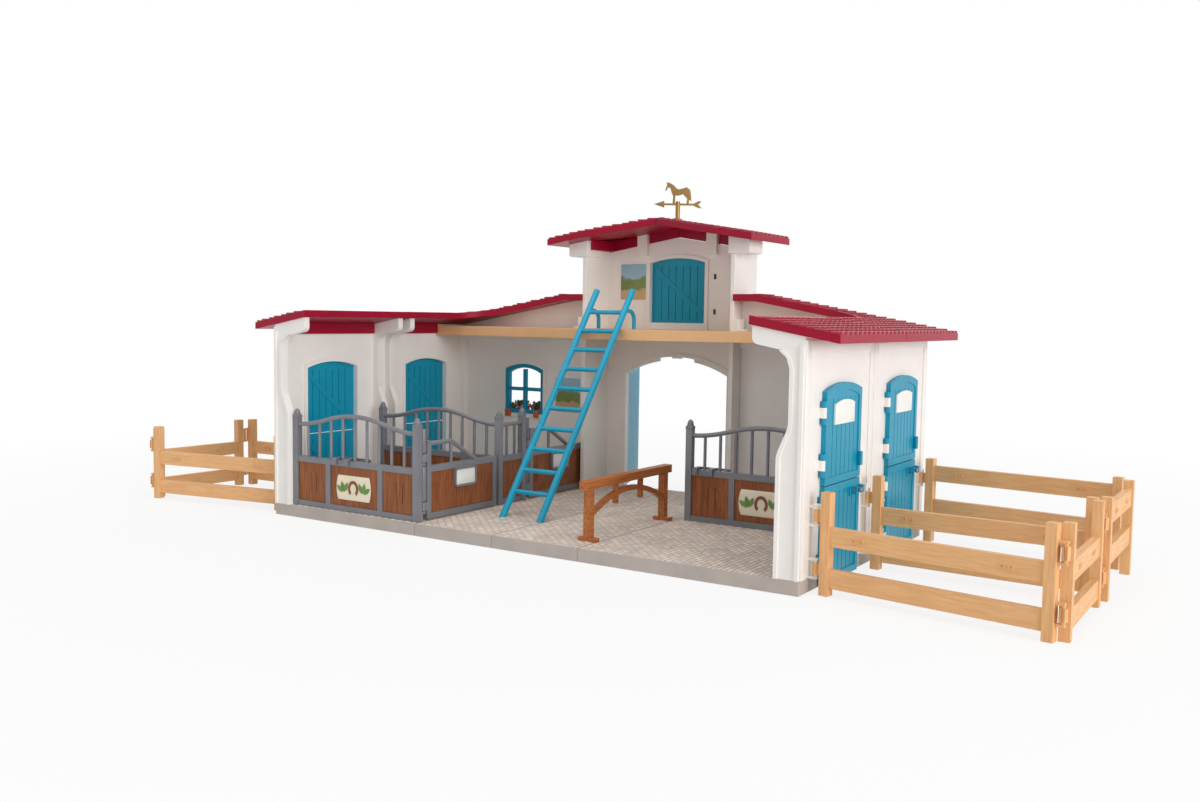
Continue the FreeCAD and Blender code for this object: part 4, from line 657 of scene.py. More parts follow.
DOOR_MIDDLE = -PANEL_LENGTH / 2
DOOR_HALF = 30.7 * MM
DOOR_SPRING = 129.7 * MM
DOOR_RISE = 5.2 * MM
PANEL_TOP = 166.5 * MM
PANEL_BAND = 9.0 * MM
PANEL_INSET = 0.4 * MM
ARCH_HALF = 56.0 * MM
ARCH_SPRING = 127.4 * MM
ARCH_RISE = 14.6 * MM
LOFT_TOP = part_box("loft_floor")[1].z
LOFT_DOOR_HALF = 30.2 * MM
LOFT_DOOR_SPRING = 232.8 * MM
LOFT_DOOR_RISE = 4.4 * MM
WINDOW_MIDDLE = 164.0 * MM
WINDOW_HALF = 24.4 * MM
WINDOW_SILL = 79.0 * MM
WINDOW_SPRING = 125.0 * MM
WINDOW_RISE = 5.4 * MM
# Gap between the edge of an opening and the band round it
BAND_GAP = 0.1 * MM
BAND_STEPS = 16

STOP_DEEP = 3.2 * MM
STOP_INSET = 0.2 * MM
STOP_STEPS = 8
STOP_SIDE = 19.0 * MM
STOP_CROWN = 5.4 * MM
# Parts of the gates' stop under the arch: start, end and depth
STOP_ENDS = [(-ARCH_HALF, -STOP_SIDE, STOP_DEEP), (-STOP_CROWN, STOP_CROWN, STOP_DEEP / 2),
             (STOP_SIDE, ARCH_HALF, STOP_DEEP)]

# Inner edge of a front rib: depth from the outer wall face, and height
RIB_EDGE = [(18.0 * MM, 10.0 * MM), (18.0 * MM, 90.0 * MM), (16.6 * MM, 94.5 * MM),
            (11.2 * MM, 107.0 * MM), (10.0 * MM, 111.5 * MM), (10.0 * MM, 148.0 * MM),
            (12.4 * MM, 155.0 * MM), (18.0 * MM, 159.6 * MM)]
RIB_RIM = 2.8 * MM
RIB_RIM_PROUD = 1.3 * MM
RIB_RIM_SINK = 0.5 * MM
RIB_STRIP_TOP = 163.0 * MM
RIB_STRIP_INSET = 0.3 * MM

# Middles of the hinge pockets beside the loft door: across and height
POCKETS = [(40.8 * MM, 219.2 * MM), (40.9 * MM, 186.0 * MM)]
POCKET_WIDE, POCKET_HIGH = 2.4 * MM, 5.2 * MM
POCKET_ROUND = 0.6 * MM
POCKET_PROUD = 0.25 * MM

# Pictures on the walls: left, right, wall face, foot and head
PICTURES = {"tower_picture": (-64.0 * MM, -35.6 * MM, BAY_BACK - WALL, 197.3 * MM, 232.1 * MM),
            "wall_picture": (-123.8 * MM, -94.3 * MM, BACK - WALL, 83.7 * MM, 118.0 * MM)}
PICTURE_ROUND = 1.2 * MM
PICTURE_PROUD = 0.5 * MM
PICTURE_SOFT = 0.15 * MM
# Shares of a picture's height at which its fields of colour end and start, and the sway of their joints
SAND_END, MEADOW_START, MEADOW_END, SKY_START = 0.24, 0.3, 0.58, 0.66
FIELD_SWAY = 0.07


class DressWalls(bpy.types.Operator):
    """White walls with raised strips outside and bands round their openings"""
    bl_idname = "stable.dress_walls"
    bl_label = "Walls"

    def execute(self, context):
        white = wall_finish()
        for name in ("arch_wall", "tower_back_wall", "tower_wall_left", "tower_wall_right", "wall_back_left",
                     "wall_back_right"):
            finish_node(name, white)
        for wing in WINGS:
            finish_node("wall_" + wing, white)
            piece("wall_strips_" + wing, wing_strips(wing), ROOT, white)
        piece("opening_bands", opening_bands(), ROOT, white)
        piece("rib_rims", rib_rims(), ROOT, white)
        piece("arch_stop", arch_stop(), ROOT, white)
        # Dark sheets paint the shade inside the hinge pockets
        piece("hinge_pockets", hinge_pockets(), ROOT, painted_shade_finish())
        for name, (x0, x1, y, z0, z1) in PICTURES.items():
            face = facing(Vector(((x0 + x1) / 2, y, (z0 + z1) / 2)), RIGHT, UP)
            sheet = picture_finish(name, z0, z1)
            piece(name, picture(face, x1 - x0, z1 - z0), ROOT, sheet)
        return {"FINISHED"}


def wing_place(wing):
    """Move that takes a place on the right front panel to the same place on another wing panel."""
    side, shift = WINGS[wing]
    turn = turn_z(0 if side > 0 else 180)
    return turn @ Matrix.Translation((0, shift * PANEL_LENGTH, 0))


def wing_strips(wing):
    """Strips at a panel's ends and a band under the roof outside, and a band round the door inside."""
    size = sizes()
    bm = bmesh.new()
    place = wing_place(wing)
    face, out = HALF_WIDTH - SINK, HALF_WIDTH + size.strip_proud
    start, end = FRONT + PANEL_INSET, -PANEL_INSET
    soft = size.strip_proud / 3
    for low in (start, end - size.strip_width):
        block(bm, (face, low, FLOOR_TOP), (out, low + size.strip_width, PANEL_TOP), soft, place)
    block(bm, (face, start + size.strip_width, PANEL_TOP - PANEL_BAND),
          (out, end - size.strip_width, PANEL_TOP), soft, place)
    inner = facing(Vector((HALF_WIDTH - WALL, DOOR_MIDDLE, 0)), -BACKWARD, UP)
    line = arch_line(DOOR_HALF, FLOOR_TOP, DOOR_SPRING, DOOR_RISE, BAND_GAP)
    rim = arch_line(DOOR_HALF, FLOOR_TOP, DOOR_SPRING, DOOR_RISE, size.surround_width)
    band(bm, line, rim, -SINK, size.surround_proud, place @ inner)
    return bm


def opening_bands():
    """Raised bands round the arch, the loft door and the windows, on the faces towards the courtyard."""
    size = sizes()
    bm = bmesh.new()
    inner = BAY_BACK - WALL
    rows = [(0, inner, ARCH_HALF, FLOOR_TOP, ARCH_SPRING, ARCH_RISE),
            (0, inner, LOFT_DOOR_HALF, LOFT_TOP, LOFT_DOOR_SPRING, LOFT_DOOR_RISE)]
    rows += [(side * WINDOW_MIDDLE, BACK - WALL, WINDOW_HALF, WINDOW_SILL, WINDOW_SPRING, WINDOW_RISE)
             for side in (-1, 1)]
    for x, y, half, foot, spring, rise in rows:
        place = facing(Vector((x, y, 0)), RIGHT, UP)
        line = arch_line(half, foot, spring, rise, BAND_GAP, BAND_STEPS)
        rim = arch_line(half, foot, spring, rise, size.surround_width, BAND_STEPS)
        closed = foot == WINDOW_SILL
        if closed:
            rim[0] = (rim[0][0], foot - size.surround_width)
            rim[-1] = (rim[-1][0], foot - size.surround_width)
        band(bm, line, rim, -SINK, size.surround_proud, place, closed)
    return bm


def arch_stop():
    """Stop for the gates under the arch, in the wall's rear half, open on both sides of its crown."""
    radius, middle = arch_round(ARCH_HALF, ARCH_SPRING, ARCH_RISE)
    place = facing(Vector((0, BAY_BACK, 0)), RIGHT, UP)
    bm = bmesh.new()
    for start, end, deep in STOP_ENDS:
        along = [start + (end - start) * i / STOP_STEPS for i in range(STOP_STEPS + 1)]
        over = [(u, middle + math.sqrt(radius * radius - u * u)) for u in along]
        foot, head = [(u, v - deep) for u, v in over], [(u, v + SINK) for u, v in over]
        band(bm, foot, head, STOP_INSET, WALL / 2, place)
    return bm


def rib_line(side, line, inset):
    """Line of depths and heights on a front rib, moved outwards by an inset."""
    return [(side * (HALF_WIDTH - depth + inset), z) for depth, z in line]


def rib_rims():
    """Raised rim along the inner edge and strip along the outer edge of both front ribs."""
    bm = bmesh.new()
    place = facing(Vector((0, FRONT, 0)), RIGHT, UP)
    strip = [(0.0, FLOOR_TOP), (0.0, RIB_STRIP_TOP)]
    for side in (-1, 1):
        for line, near, far in ((RIB_EDGE, BAND_GAP, RIB_RIM), (strip, -RIB_RIM, -RIB_STRIP_INSET)):
            inner, outer = rib_line(side, line, near), rib_line(side, line, far)
            band(bm, inner, outer, -RIB_RIM_SINK, RIB_RIM_PROUD, place)
    return bm


def hinge_pockets():
    """Painted shade: dark sheets where the mouths of the pockets beside the loft door lie in shade."""
    bm = bmesh.new()
    for x, z in POCKETS:
        place = facing(Vector((x, BAY_BACK - WALL, z)), RIGHT, UP)
        slab(bm, round_rect(POCKET_WIDE, POCKET_HIGH, POCKET_ROUND), -SINK, POCKET_PROUD, place)
    return bm


def picture(face, width, high):
    """Sheet on a wall with slightly rounded corners."""
    bm = bmesh.new()
    slab(bm, round_rect(width, high, PICTURE_ROUND), -SINK, PICTURE_PROUD, face, PICTURE_SOFT)
    return bm


def picture_finish(name, foot, head):
    """Plain fields of colour above each other, with a softly waved joint."""
    look = finishes()
    material, tree, shader = blank(name)
    coords = object_coords(tree)
    noise = put(tree, "ShaderNodeTexNoise", {"Vector": coords, "Scale": 90.0, "Detail": 2.0}).outputs["Fac"]
    upward = put(tree, "ShaderNodeSeparateXYZ", {"Vector": coords}).outputs["Z"]
    height = remap(tree, upward, foot, head, 0.0, 1.0)
    sway = remap(tree, noise, NOISE_LOW, NOISE_HIGH, -FIELD_SWAY, FIELD_SWAY)
    ramp = put(tree, "ShaderNodeValToRGB", {"Fac": maths(tree, "ADD", height, sway)})
    stops = ramp.color_ramp.elements
    stops[0].position, stops[0].color = SAND_END, (*look.sand, 1)
    stops[1].position, stops[1].color = SKY_START, (*look.sky, 1)
    for position in (MEADOW_START, MEADOW_END):
        stops.new(position).color = (*look.meadow, 1)
    tree.links.new(ramp.outputs["Color"], shader.inputs["Base Color"])
    shader.inputs["Roughness"].default_value = 0.35
    roughen(tree, shader, noise, depth=0.02 * MM)
    return material


# Floor

BAY_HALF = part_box("arch_wall")[1].x
COBBLE_SINK = 0.1 * MM
COBBLE_SEED = 11
# Least width and least height of a cobble, as shares of the full ones
COBBLE_NARROWEST, COBBLE_LOWEST = 0.86, 0.7


class LayCobbles(bpy.types.Operator):
    """Stone floor plates with raised cobbles"""
    bl_idname = "stable.lay_cobbles"
    bl_label = "Floor"

    def execute(self, context):
        plain, stone = stone_finish(), cobble_finish()
        draw = random.Random(COBBLE_SEED)
        for name in ("floor_left", "floor_centre_left", "floor_centre_right", "floor_right"):
            finish_node(name, plain)
            piece("cobbles_" + name, cobbles(name, draw), ROOT, stone, crease=60)
        return {"FINISHED"}


def on_floor(x, y):
    return y < BACK or abs(x) < BAY_HALF


def cobbles(node, draw):
    """Rows of low cobbles over a floor plate, staggered row by row."""
    size = sizes()
    low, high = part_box(node)
    margin = size.cobble_gap
    bm = bmesh.new()
    columns = int((high.x - low.x - 2 * margin) / size.cobble_width)
    pitch = (high.x - low.x - 2 * margin) / columns
    rows = int((high.y - low.y) / size.cobble_length) + 1
    for i in range(columns):
        x = low.x + margin + (i + 0.5) * pitch
        for j in range(-1, rows):
            start = low.y + (j + (i % 2) / 2) * size.cobble_length
            y0 = max(start + size.cobble_gap / 2, low.y + margin)
            y1 = min(start + size.cobble_length - size.cobble_gap / 2, high.y - margin)
            if y1 - y0 < size.cobble_gap or not on_floor(x, y1 + margin):
                continue
            half = (pitch - size.cobble_gap) / 2 * draw.uniform(COBBLE_NARROWEST, 1.0)
            cobble(bm, x - half, x + half, y0, y1, size.cobble_proud * draw.uniform(COBBLE_LOWEST, 1.0))
    return bm


def cobble(bm, x0, x1, y0, y1, proud):
    """Low stone with sloping sides and clipped corners."""
    clip = (x1 - x0) / 4

    def ring(inset, z):
        a, b, c, d = x0 + inset, x1 - inset, y0 + inset, y1 - inset
        corners = ((a + clip, c), (b - clip, c), (b, c + clip), (b, d - clip), (b - clip, d), (a + clip, d),
                   (a, d - clip), (a, c + clip))
        return [bm.verts.new((x, y, FLOOR_TOP + z)) for x, y in corners]
    foot = ring(0, -COBBLE_SINK)
    top = ring(clip / 2, proud)
    bm.faces.new(list(reversed(foot)))
    bm.faces.new(top)
    for i in range(len(foot)):
        bm.faces.new((foot[i - 1], foot[i], top[i], top[i - 1]))


# Roofs

EAVE_TOP = 170.5 * MM
WING_PITCH = math.radians(10.25)
# Tiles of the wing roofs stop here, short of the tower
TILES_END = 101.5 * MM
COURT_EDGE = 104.5 * MM
COURT_ROUND = 41.0 * MM
COURT_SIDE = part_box("roof_right_front")[0].x
RIDGE_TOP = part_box("tower_roof_right")[1].z
TOWER_PITCH = math.radians(9.4)
TOWER_CORNER = 76.0 * MM
RIDGE_FRONT = 107.0 * MM
TILE_ROUND = 2.2 * MM
# Share of its height that a tile loses from its lower to its upper edge
TILE_TAPER = 0.85


class LayTiles(bpy.types.Operator):
    """Raspberry roof plates with rows of raised tiles"""
    bl_idname = "stable.lay_tiles"
    bl_label = "Roofs"

    def execute(self, context):
        plain, tiled = roof_finish(), tile_finish()
        for word, side in SIDES.items():
            for place in ("front", "rear"):
                node = f"roof_{word}_{place}"
                finish_node(node, plain)
                piece("tiles_" + node, wing_tiles(node, side), ROOT, tiled, crease=30)
            node = "tower_roof_" + word
            finish_node(node, plain)
            piece("tiles_" + node, tower_tiles(node, side), ROOT, tiled, crease=30)
        return {"FINISHED"}


def over_wing(x, y):
    """True where the wing roof covers a point of the right wing."""
    if x >= COURT_SIDE or y >= COURT_EDGE:
        return True
    from_x, from_y = x - (COURT_SIDE - COURT_ROUND), y - (COURT_EDGE - COURT_ROUND)
    return from_x > 0 and from_y > 0 and math.hypot(from_x, from_y) >= COURT_ROUND


def wing_tiles(node, side):
    """Tiles of a wing roof plate, left out over the courtyard's round corner."""
    low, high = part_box(node)
    inner, eave = sorted((abs(low.x), abs(high.x)))
    run = eave - max(inner, TILES_END)
    return tile_rows(side, eave, EAVE_TOP, WING_PITCH, run, low.y, high.y, over_wing)


def tower_tiles(node, side):
    """Tiles of half the tower roof, trimmed along its slanted front edge."""
    low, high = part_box(node)
    eave = max(abs(low.x), abs(high.x))
    eave_top = RIDGE_TOP - math.tan(TOWER_PITCH) * eave
    bm = tile_rows(side, eave, eave_top, TOWER_PITCH, eave, low.y, high.y)
    edge = Vector((side * TOWER_CORNER, low.y - RIDGE_FRONT, 0))
    outward = Vector((edge.y, -edge.x, 0)) * side
    bmesh.ops.bisect_plane(bm, geom=bm.verts[:] + bm.edges[:] + bm.faces[:], dist=0.001 * MM,
                           plane_co=(0, RIDGE_FRONT, 0), plane_no=outward, clear_outer=True)
    bmesh.ops.holes_fill(bm, edges=[edge for edge in bm.edges if edge.is_boundary])
    return bm


def tile_rows(side, eave, eave_top, pitch, run, y0, y1, covers=None):
    """Rows of tiles from the eave up a roof plate, each row half a tile along from the last."""
    size = sizes()
    bm = bmesh.new()
    slope = run / math.cos(pitch)
    climb = Vector((-side * math.cos(pitch), 0, math.sin(pitch)))
    count = int(slope / size.tile_row + 0.5)
    row_length = slope / count
    columns = int((y1 - y0) / size.tile_pitch + 0.5)
    step = (y1 - y0) / columns
    gap = step - size.tile_width * step / size.tile_pitch
    for row in range(count):
        start = Vector((side * eave, 0, eave_top)) + climb * (row * row_length)
        reach = row_length + (size.tile_proud if row < count - 1 else 0)
        for column in range(-1, columns + 1):
            a = max(y0 + (column + (row % 2) / 2) * step + gap / 2, y0)
            b = min(y0 + (column + 1 + (row % 2) / 2) * step - gap / 2, y1)
            if b - a < gap:
                continue
            low_x, high_x = abs(start.x), abs(start.x) - reach * math.cos(pitch)
            if covers and not all(covers(x, y) for x in (low_x, high_x) for y in (a, b)):
                continue
            place = facing(start + BACKWARD * ((a + b) / 2), BACKWARD * side, climb)
            tile(bm, place, (b - a) / 2, reach, size.tile_proud)
    return bm


def tile(bm, place, half, reach, proud):
    """Tile with a round lower edge that stands proud and sinks into the plate at its upper end."""
    soft = proud / 4
    turn = min(half, TILE_ROUND)
    quarter = [math.radians(degrees) for degrees in (180, 210, 240, 270)]

    def ring(inset, lift):
        line = [(-half + inset, reach)]
        line += [(-half + turn + u, turn + v) for u, v in oval(turn - inset, turn - inset, quarter)]
        line += [(-u, v) for u, v in reversed(line)]
        return [bm.verts.new(place @ Vector((u, v, lift(v)))) for u, v in line]

    def height(v):
        return proud * (1 - TILE_TAPER * v / reach)
    foot = ring(0, lambda v: -soft)
    shoulder = ring(0, lambda v: height(v) - soft)
    top = ring(soft, height)
    bm.faces.new(list(reversed(foot)))
    bm.faces.new(top)
    for below, above in ((foot, shoulder), (shoulder, top)):
        for i in range(len(below)):
            bm.faces.new((below[i - 1], below[i], above[i], above[i - 1]))


# Doors and gates

LEAF_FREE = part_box("door_right_front_upper")[1].y
LEAF_SINK = 0.3 * MM
LOWER_SOFT = 0.15 * MM
BOLT_SOFT = 0.2 * MM
# Grip of an upper leaf: heights, and places in from the free edge
HANDLE_LOW, HANDLE_HIGH = 77.0 * MM, 87.0 * MM
HANDLE_NEAR, HANDLE_FAR = 1.4 * MM, 5.4 * MM
HANDLE_OUT = 2.6 * MM
HANDLE_SOFT = 0.7 * MM
# Grip of an arch gate: lower near and upper far corner, from the middle of the arch; heights of its pegs
GATE_HANDLE = [(3.0 * MM, 75.6 * MM), (7.4 * MM, 91.8 * MM)]
GATE_PEGS = [43.0 * MM, 106.0 * MM, 116.7 * MM]
GATE_PEG = 1.6 * MM
GATE_HANDLE_OUT = 4.2 * MM
GATE_HANDLE_SOFT = 0.5 * MM
SIGN_LOW = 109.0 * MM
SIGN_RISE = 2.6 * MM
# A sign reaches down to the recessed field of its leaf
SIGN_DEEP = 0.9 * MM
SIGN_PROUD = 0.5 * MM
CARD_SOFT = 0.2 * MM
FIELD_DEPTH = 0.7 * MM
BOLT_LOW, BOLT_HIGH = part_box("bolt_right_front")
BOLT_HEIGHT = (BOLT_LOW.z + BOLT_HIGH.z) / 2
# Plate behind a bolt: reach below, above, past its tail and short of the leaf's free edge
BACKING_BELOW, BACKING_ABOVE = 4.4 * MM, 4.0 * MM
BACKING_PAST, BACKING_SHORT = 1.6 * MM, 0.4 * MM
BACKING_PROUD = 0.9 * MM
BACKING_SOFT = 0.3 * MM
KNOB_INSET = 4.5 * MM
KNOB_END = 9.2 * MM
KNOB_BALL = 2.0 * MM
KNOB_FLAT = 0.7


class DressDoors(bpy.types.Operator):
    """Teal doors, gates and bolts with handles and blank signs"""
    bl_idname = "stable.dress_doors"
    bl_label = "Doors and gates"

    def execute(self, context):
        teal, card, steel = teal_finish(), card_finish(), steel_finish()
        for wing in WINGS:
            upper, lower, bolt = f"door_{wing}_upper", f"door_{wing}_lower", "bolt_" + wing
            finish_node(upper, teal)
            finish_node(lower, teal, LOWER_SOFT, join_flat=False)
            finish_node(bolt, steel, BOLT_SOFT)
            piece("door_handle_" + wing, door_handle(wing), upper, teal)
            piece("bolt_plate_" + wing, bolt_plate(wing), lower, teal)
            piece("bolt_knob_" + wing, bolt_knob(wing), bolt, steel)
            piece("door_sign_" + wing, door_sign(wing), upper, card)
        finish_node("loft_door", teal)
        for word, side in SIDES.items():
            gate = "arch_gate_" + word
            finish_node(gate, teal)
            piece("gate_handle_" + word, gate_handle(gate, side), gate, teal)
        return {"FINISHED"}


def door_handle(wing):
    """Grip block at the free edge of an upper leaf."""
    bm = bmesh.new()
    face = HALF_WIDTH + LEAF_FACE
    block(bm, (face - LEAF_SINK, LEAF_FREE - HANDLE_FAR, HANDLE_LOW),
          (face + HANDLE_OUT, LEAF_FREE - HANDLE_NEAR, HANDLE_HIGH), HANDLE_SOFT, wing_place(wing))
    return bm


def gate_handle(gate, side):
    """Grip block and pegs near the free edge of an arch gate leaf, on its outer face."""
    axis = HINGES[gate]
    swing = Matrix.Translation(axis) @ turn_z(side * CLOSED[gate]) @ Matrix.Translation(-axis)
    face = BAY_BACK + LEAF_FACE
    (near, low), (far, high) = GATE_HANDLE
    bm = bmesh.new()
    spans = [(near, far, low, high)]
    spans += [(near, near + GATE_PEG, z - GATE_PEG / 2, z + GATE_PEG / 2) for z in GATE_PEGS]
    for u0, u1, z0, z1 in spans:
        x0, x1 = sorted((side * u0, side * u1))
        block(bm, (x0, face - LEAF_SINK, z0), (x1, face + GATE_HANDLE_OUT, z1), GATE_HANDLE_SOFT, swing)
    return bm


def door_sign(wing):
    """Blank card with an arched top on an upper leaf."""
    size = sizes()
    bm = bmesh.new()
    face = wing_place(wing) @ facing(Vector((HALF_WIDTH + LEAF_FACE, DOOR_MIDDLE, SIGN_LOW)), BACKWARD, UP)
    line = arch_line(size.sign_width / 2, 0, size.sign_high, SIGN_RISE)
    slab(bm, line, -SIGN_DEEP, SIGN_PROUD, face, CARD_SOFT)
    return bm


def bolt_plate(wing):
    """Raised plate behind a bolt and its guides."""
    bm = bmesh.new()
    face = HALF_WIDTH + LEAF_FACE - FIELD_DEPTH
    low = (face - LEAF_SINK, BOLT_LOW.y - BACKING_PAST, BOLT_HEIGHT - BACKING_BELOW)
    high = (face + BACKING_PROUD, LEAF_FREE - BACKING_SHORT, BOLT_HEIGHT + BACKING_ABOVE)
    block(bm, low, high, BACKING_SOFT, wing_place(wing))
    return bm


def bolt_knob(wing):
    """Round grip at the end of a bolt's knob."""
    bm = bmesh.new()
    middle = Vector((HALF_WIDTH + KNOB_END, BOLT_LOW.y + KNOB_INSET, BOLT_HEIGHT))
    ball(bm, KNOB_BALL, wing_place(wing) @ Matrix.Translation(middle) @ Matrix.Diagonal((KNOB_FLAT, 1, 1, 1)))
    return bm


# Windows and plants

# Ends of the pots' hooks: left and right
CLIPS = [(-187.5 * MM, -180.1 * MM), (-150.6 * MM, -144.4 * MM)]
CLIP_LOW, CLIP_HIGH = 75.5 * MM, 82.6 * MM
CLIP_REACH = 2.6 * MM
CLIP_SOFT = 0.6 * MM
POT_LENGTH = 19.0 * MM
PLANT_SEED = 5
CROWN_SINK = 1.0 * MM
BUSH = Vector((10.5 * MM, 5.0 * MM, 4.6 * MM))
LEAF_COUNT, BLOSSOM_COUNT = 70, 26
# Outline of a leaf of length one: along, across and lift
LEAF_SHAPE = ((0, 0, 0), (0.35, 0.28, 0.12), (0.75, 0.24, 0.1), (1, 0, 0), (0.75, -0.24, 0.1),
              (0.35, -0.28, 0.12))
LEAF_LENGTHS = (3.2 * MM, 5.0 * MM)
LEAF_TILTS = (-1.2, -0.3)
LEAF_THICK = 0.25 * MM
# Shares of the way from the crown to the dome at which a leaf starts, and by which it is then lifted
LEAF_START, LEAF_LIFT = 0.35, 0.55
BLOSSOM_RADII = (1.6 * MM, 2.4 * MM)
# Shares of a blossom's radius: size and lift of its eye, size and place of its petals
EYE_SIZE, EYE_LIFT = 0.35, 0.2
PETAL_SIZE, PETAL_OUT = 0.5, 0.6
PETAL_SHAPE = (1, 0.85, 0.45, 1)
PETALS = 5


class DressWindows(bpy.types.Operator):
    """Teal windows, and clay pots with their plants"""
    bl_idname = "stable.dress_windows"
    bl_label = "Windows and plants"

    def execute(self, context):
        clay, leaf, pink = clay_finish(), leaf_finish(), blossom_finish()
        finish_node("window_frames", teal_finish())
        finish_node("planters", clay)
        piece("planter_clips", planter_clips(), ROOT, clay)
        draw = random.Random(PLANT_SEED)
        low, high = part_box("planters")
        for word, x in (("west", low.x + POT_LENGTH / 2), ("east", high.x - POT_LENGTH / 2)):
            crown = Vector((x, (low.y + high.y) / 2, high.z - CROWN_SINK))
            piece("plant_leaves_" + word, foliage(crown, draw), ROOT, leaf, crease=60)
            piece("plant_blossoms_" + word, blossoms(crown, draw), ROOT, pink, crease=60)
        return {"FINISHED"}


def planter_clips():
    """Ends of the pots' hooks, on the sill inside."""
    bm = bmesh.new()
    face = BACK - WALL
    for x0, x1 in CLIPS:
        block(bm, (x0, face - CLIP_REACH, CLIP_LOW), (x1, face + SINK, CLIP_HIGH), CLIP_SOFT)
    return bm


def on_bush(crown, draw):
    """A chance point on a plant's dome, and the turn that points Z out of the dome there."""
    turn = draw.uniform(0, 2 * math.pi)
    lift = math.asin(draw.uniform(0.0, 1.0))
    out = Vector((math.cos(turn) * math.cos(lift), math.sin(turn) * math.cos(lift), math.sin(lift)))
    return crown + out * BUSH, out.to_track_quat("Z", "Y").to_matrix().to_4x4()


def foliage(crown, draw):
    """Pointed leaves, folded along their middle, over a dome."""
    bm = bmesh.new()
    for _ in range(LEAF_COUNT):
        point, outward = on_bush(crown, draw)
        long = draw.uniform(*LEAF_LENGTHS)
        turn = Matrix.Rotation(draw.uniform(0, 2 * math.pi), 4, "Z")
        tilt = Matrix.Rotation(draw.uniform(*LEAF_TILTS), 4, "Y")
        lift = Matrix.Translation(UP * (LEAF_LIFT * (point - crown).length))
        place = Matrix.Translation(crown.lerp(point, LEAF_START)) @ outward @ lift @ turn @ tilt
        verts = [bm.verts.new(place @ (Vector(corner) * long)) for corner in LEAF_SHAPE]
        for half in ((0, 1, 2, 3), (0, 3, 4, 5)):
            bm.faces.new([verts[i] for i in half])
    bmesh.ops.solidify(bm, geom=bm.faces[:], thickness=LEAF_THICK)
    return bm


def blossoms(crown, draw):
    """Five-petalled blossoms over a dome."""
    bm = bmesh.new()
    for _ in range(BLOSSOM_COUNT):
        point, outward = on_bush(crown, draw)
        place = Matrix.Translation(point) @ outward
        radius = draw.uniform(*BLOSSOM_RADII)
        ball(bm, EYE_SIZE * radius, place @ Matrix.Translation(UP * (EYE_LIFT * radius)))
        petal = Matrix.Translation(RIGHT * (PETAL_OUT * radius)) @ Matrix.Diagonal(PETAL_SHAPE)
        for i in range(PETALS):
            ball(bm, PETAL_SIZE * radius, place @ turn_z(360 / PETALS * i) @ petal)
    return bm


class DressLoft(bpy.types.Operator):
    """Tan loft floor and glossy ladder"""
    bl_idname = "stable.dress_loft"
    bl_label = "Loft and ladder"

    def execute(self, context):
        finish_node("loft_floor", loft_finish())
        finish_node("ladder", ladder_finish())
        return {"FINISHED"}


# Stalls

STALL_SOFT = 0.3 * MM
BOARD_SOFT = 0.1 * MM
BOARD_HALF = 1.3 * MM
POST_HALF = 2.8 * MM
POST_TOP = 89.0 * MM
# Middles of the stall posts, from the frames' boxes, and of the post at the end of the divider's short side
STALL_X = POST_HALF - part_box("stall_front_frame")[1].x
STALL_OUTER_X = -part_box("stall_front_frame")[0].x - POST_HALF
FRONT_ROW, DIVIDER_ROW, RIGHT_ROW = [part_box(f"stall_{panel}_frame")[0].y + POST_HALF
                                     for panel in ("front", "divider", "right")]
SIDE_END = 19.0 * MM
POSTS = [(-STALL_X, FRONT_ROW), (-STALL_X, DIVIDER_ROW), (-STALL_OUTER_X, FRONT_ROW),
         (-STALL_OUTER_X, DIVIDER_ROW), (-STALL_X, SIDE_END), (STALL_X, RIGHT_ROW),
         (STALL_OUTER_X, RIGHT_ROW)]
CAP_COLLAR = 1.6 * MM
CAP_WIDE = 0.3 * MM
CAP_SOFT = 0.4 * MM
CAP_KNOB = Vector((2.7 * MM, 2.7 * MM, 4.3 * MM))
CAP_RISE = 2.1 * MM
# Tube of a gate's hinge: heights of its two lengths, and the webs that join them to the stile
TUBE_SPANS = [(26.2 * MM, 55.2 * MM), (66.2 * MM, 86.0 * MM)]
TUBE_RADIUS = 2.5 * MM
TUBE_SOFT = 0.5 * MM
WEB_TOP = 74.0 * MM
WEB_INSET = 1.0 * MM
WEB_HALF = 1.2 * MM
WEB_REACH = 3.4 * MM
WEB_SOFT = 0.2 * MM
# Name plate: place on the gate's boards, and heights of its back, bed, rim and card from that place
PLATE_SHIFT = 2.0 * MM
PLATE_HEIGHT = 42.0 * MM
PLATE_OFF = 0.9 * MM
PLATE_ROUND = 3.0 * MM
PLATE_RIM = 1.5 * MM
PLATE_BACK, PLATE_BED, PLATE_RIM_TOP, PLATE_CARD_TOP = -0.8 * MM, 0.4 * MM, 1.8 * MM, 1.1 * MM
PLATE_CARD_GAP = 0.1 * MM
# Plaques on the boards of two panels
PLAQUE_HEIGHT = 31.0 * MM
PLAQUE_BULGE = 2.0 * MM
PLAQUE_STEPS = 8
PLAQUE_LIFT = 0.8 * MM
PLAQUE_SOFT = 0.25 * MM
PLAQUE_SHIFT = 4.0 * MM
PLAQUE_MIDDLE = (STALL_X + STALL_OUTER_X) / 2
PLAQUES = {"front": (-PLAQUE_MIDDLE, FRONT_ROW - BOARD_HALF),
           "right": (PLAQUE_MIDDLE - PLAQUE_SHIFT, RIGHT_ROW - BOARD_HALF)}
# Horseshoe on a plaque: half sizes inside and outside, drop below the middle, and its turn in degrees
SHOE_INNER, SHOE_OUTER = (3.6 * MM, 4.4 * MM), (5.9 * MM, 7.0 * MM)
SHOE_DROP = 0.4 * MM
SHOE_START, SHOE_TURN = -50, 280
SHOE_STEPS = 20
SHOE_PROUD = 0.4 * MM
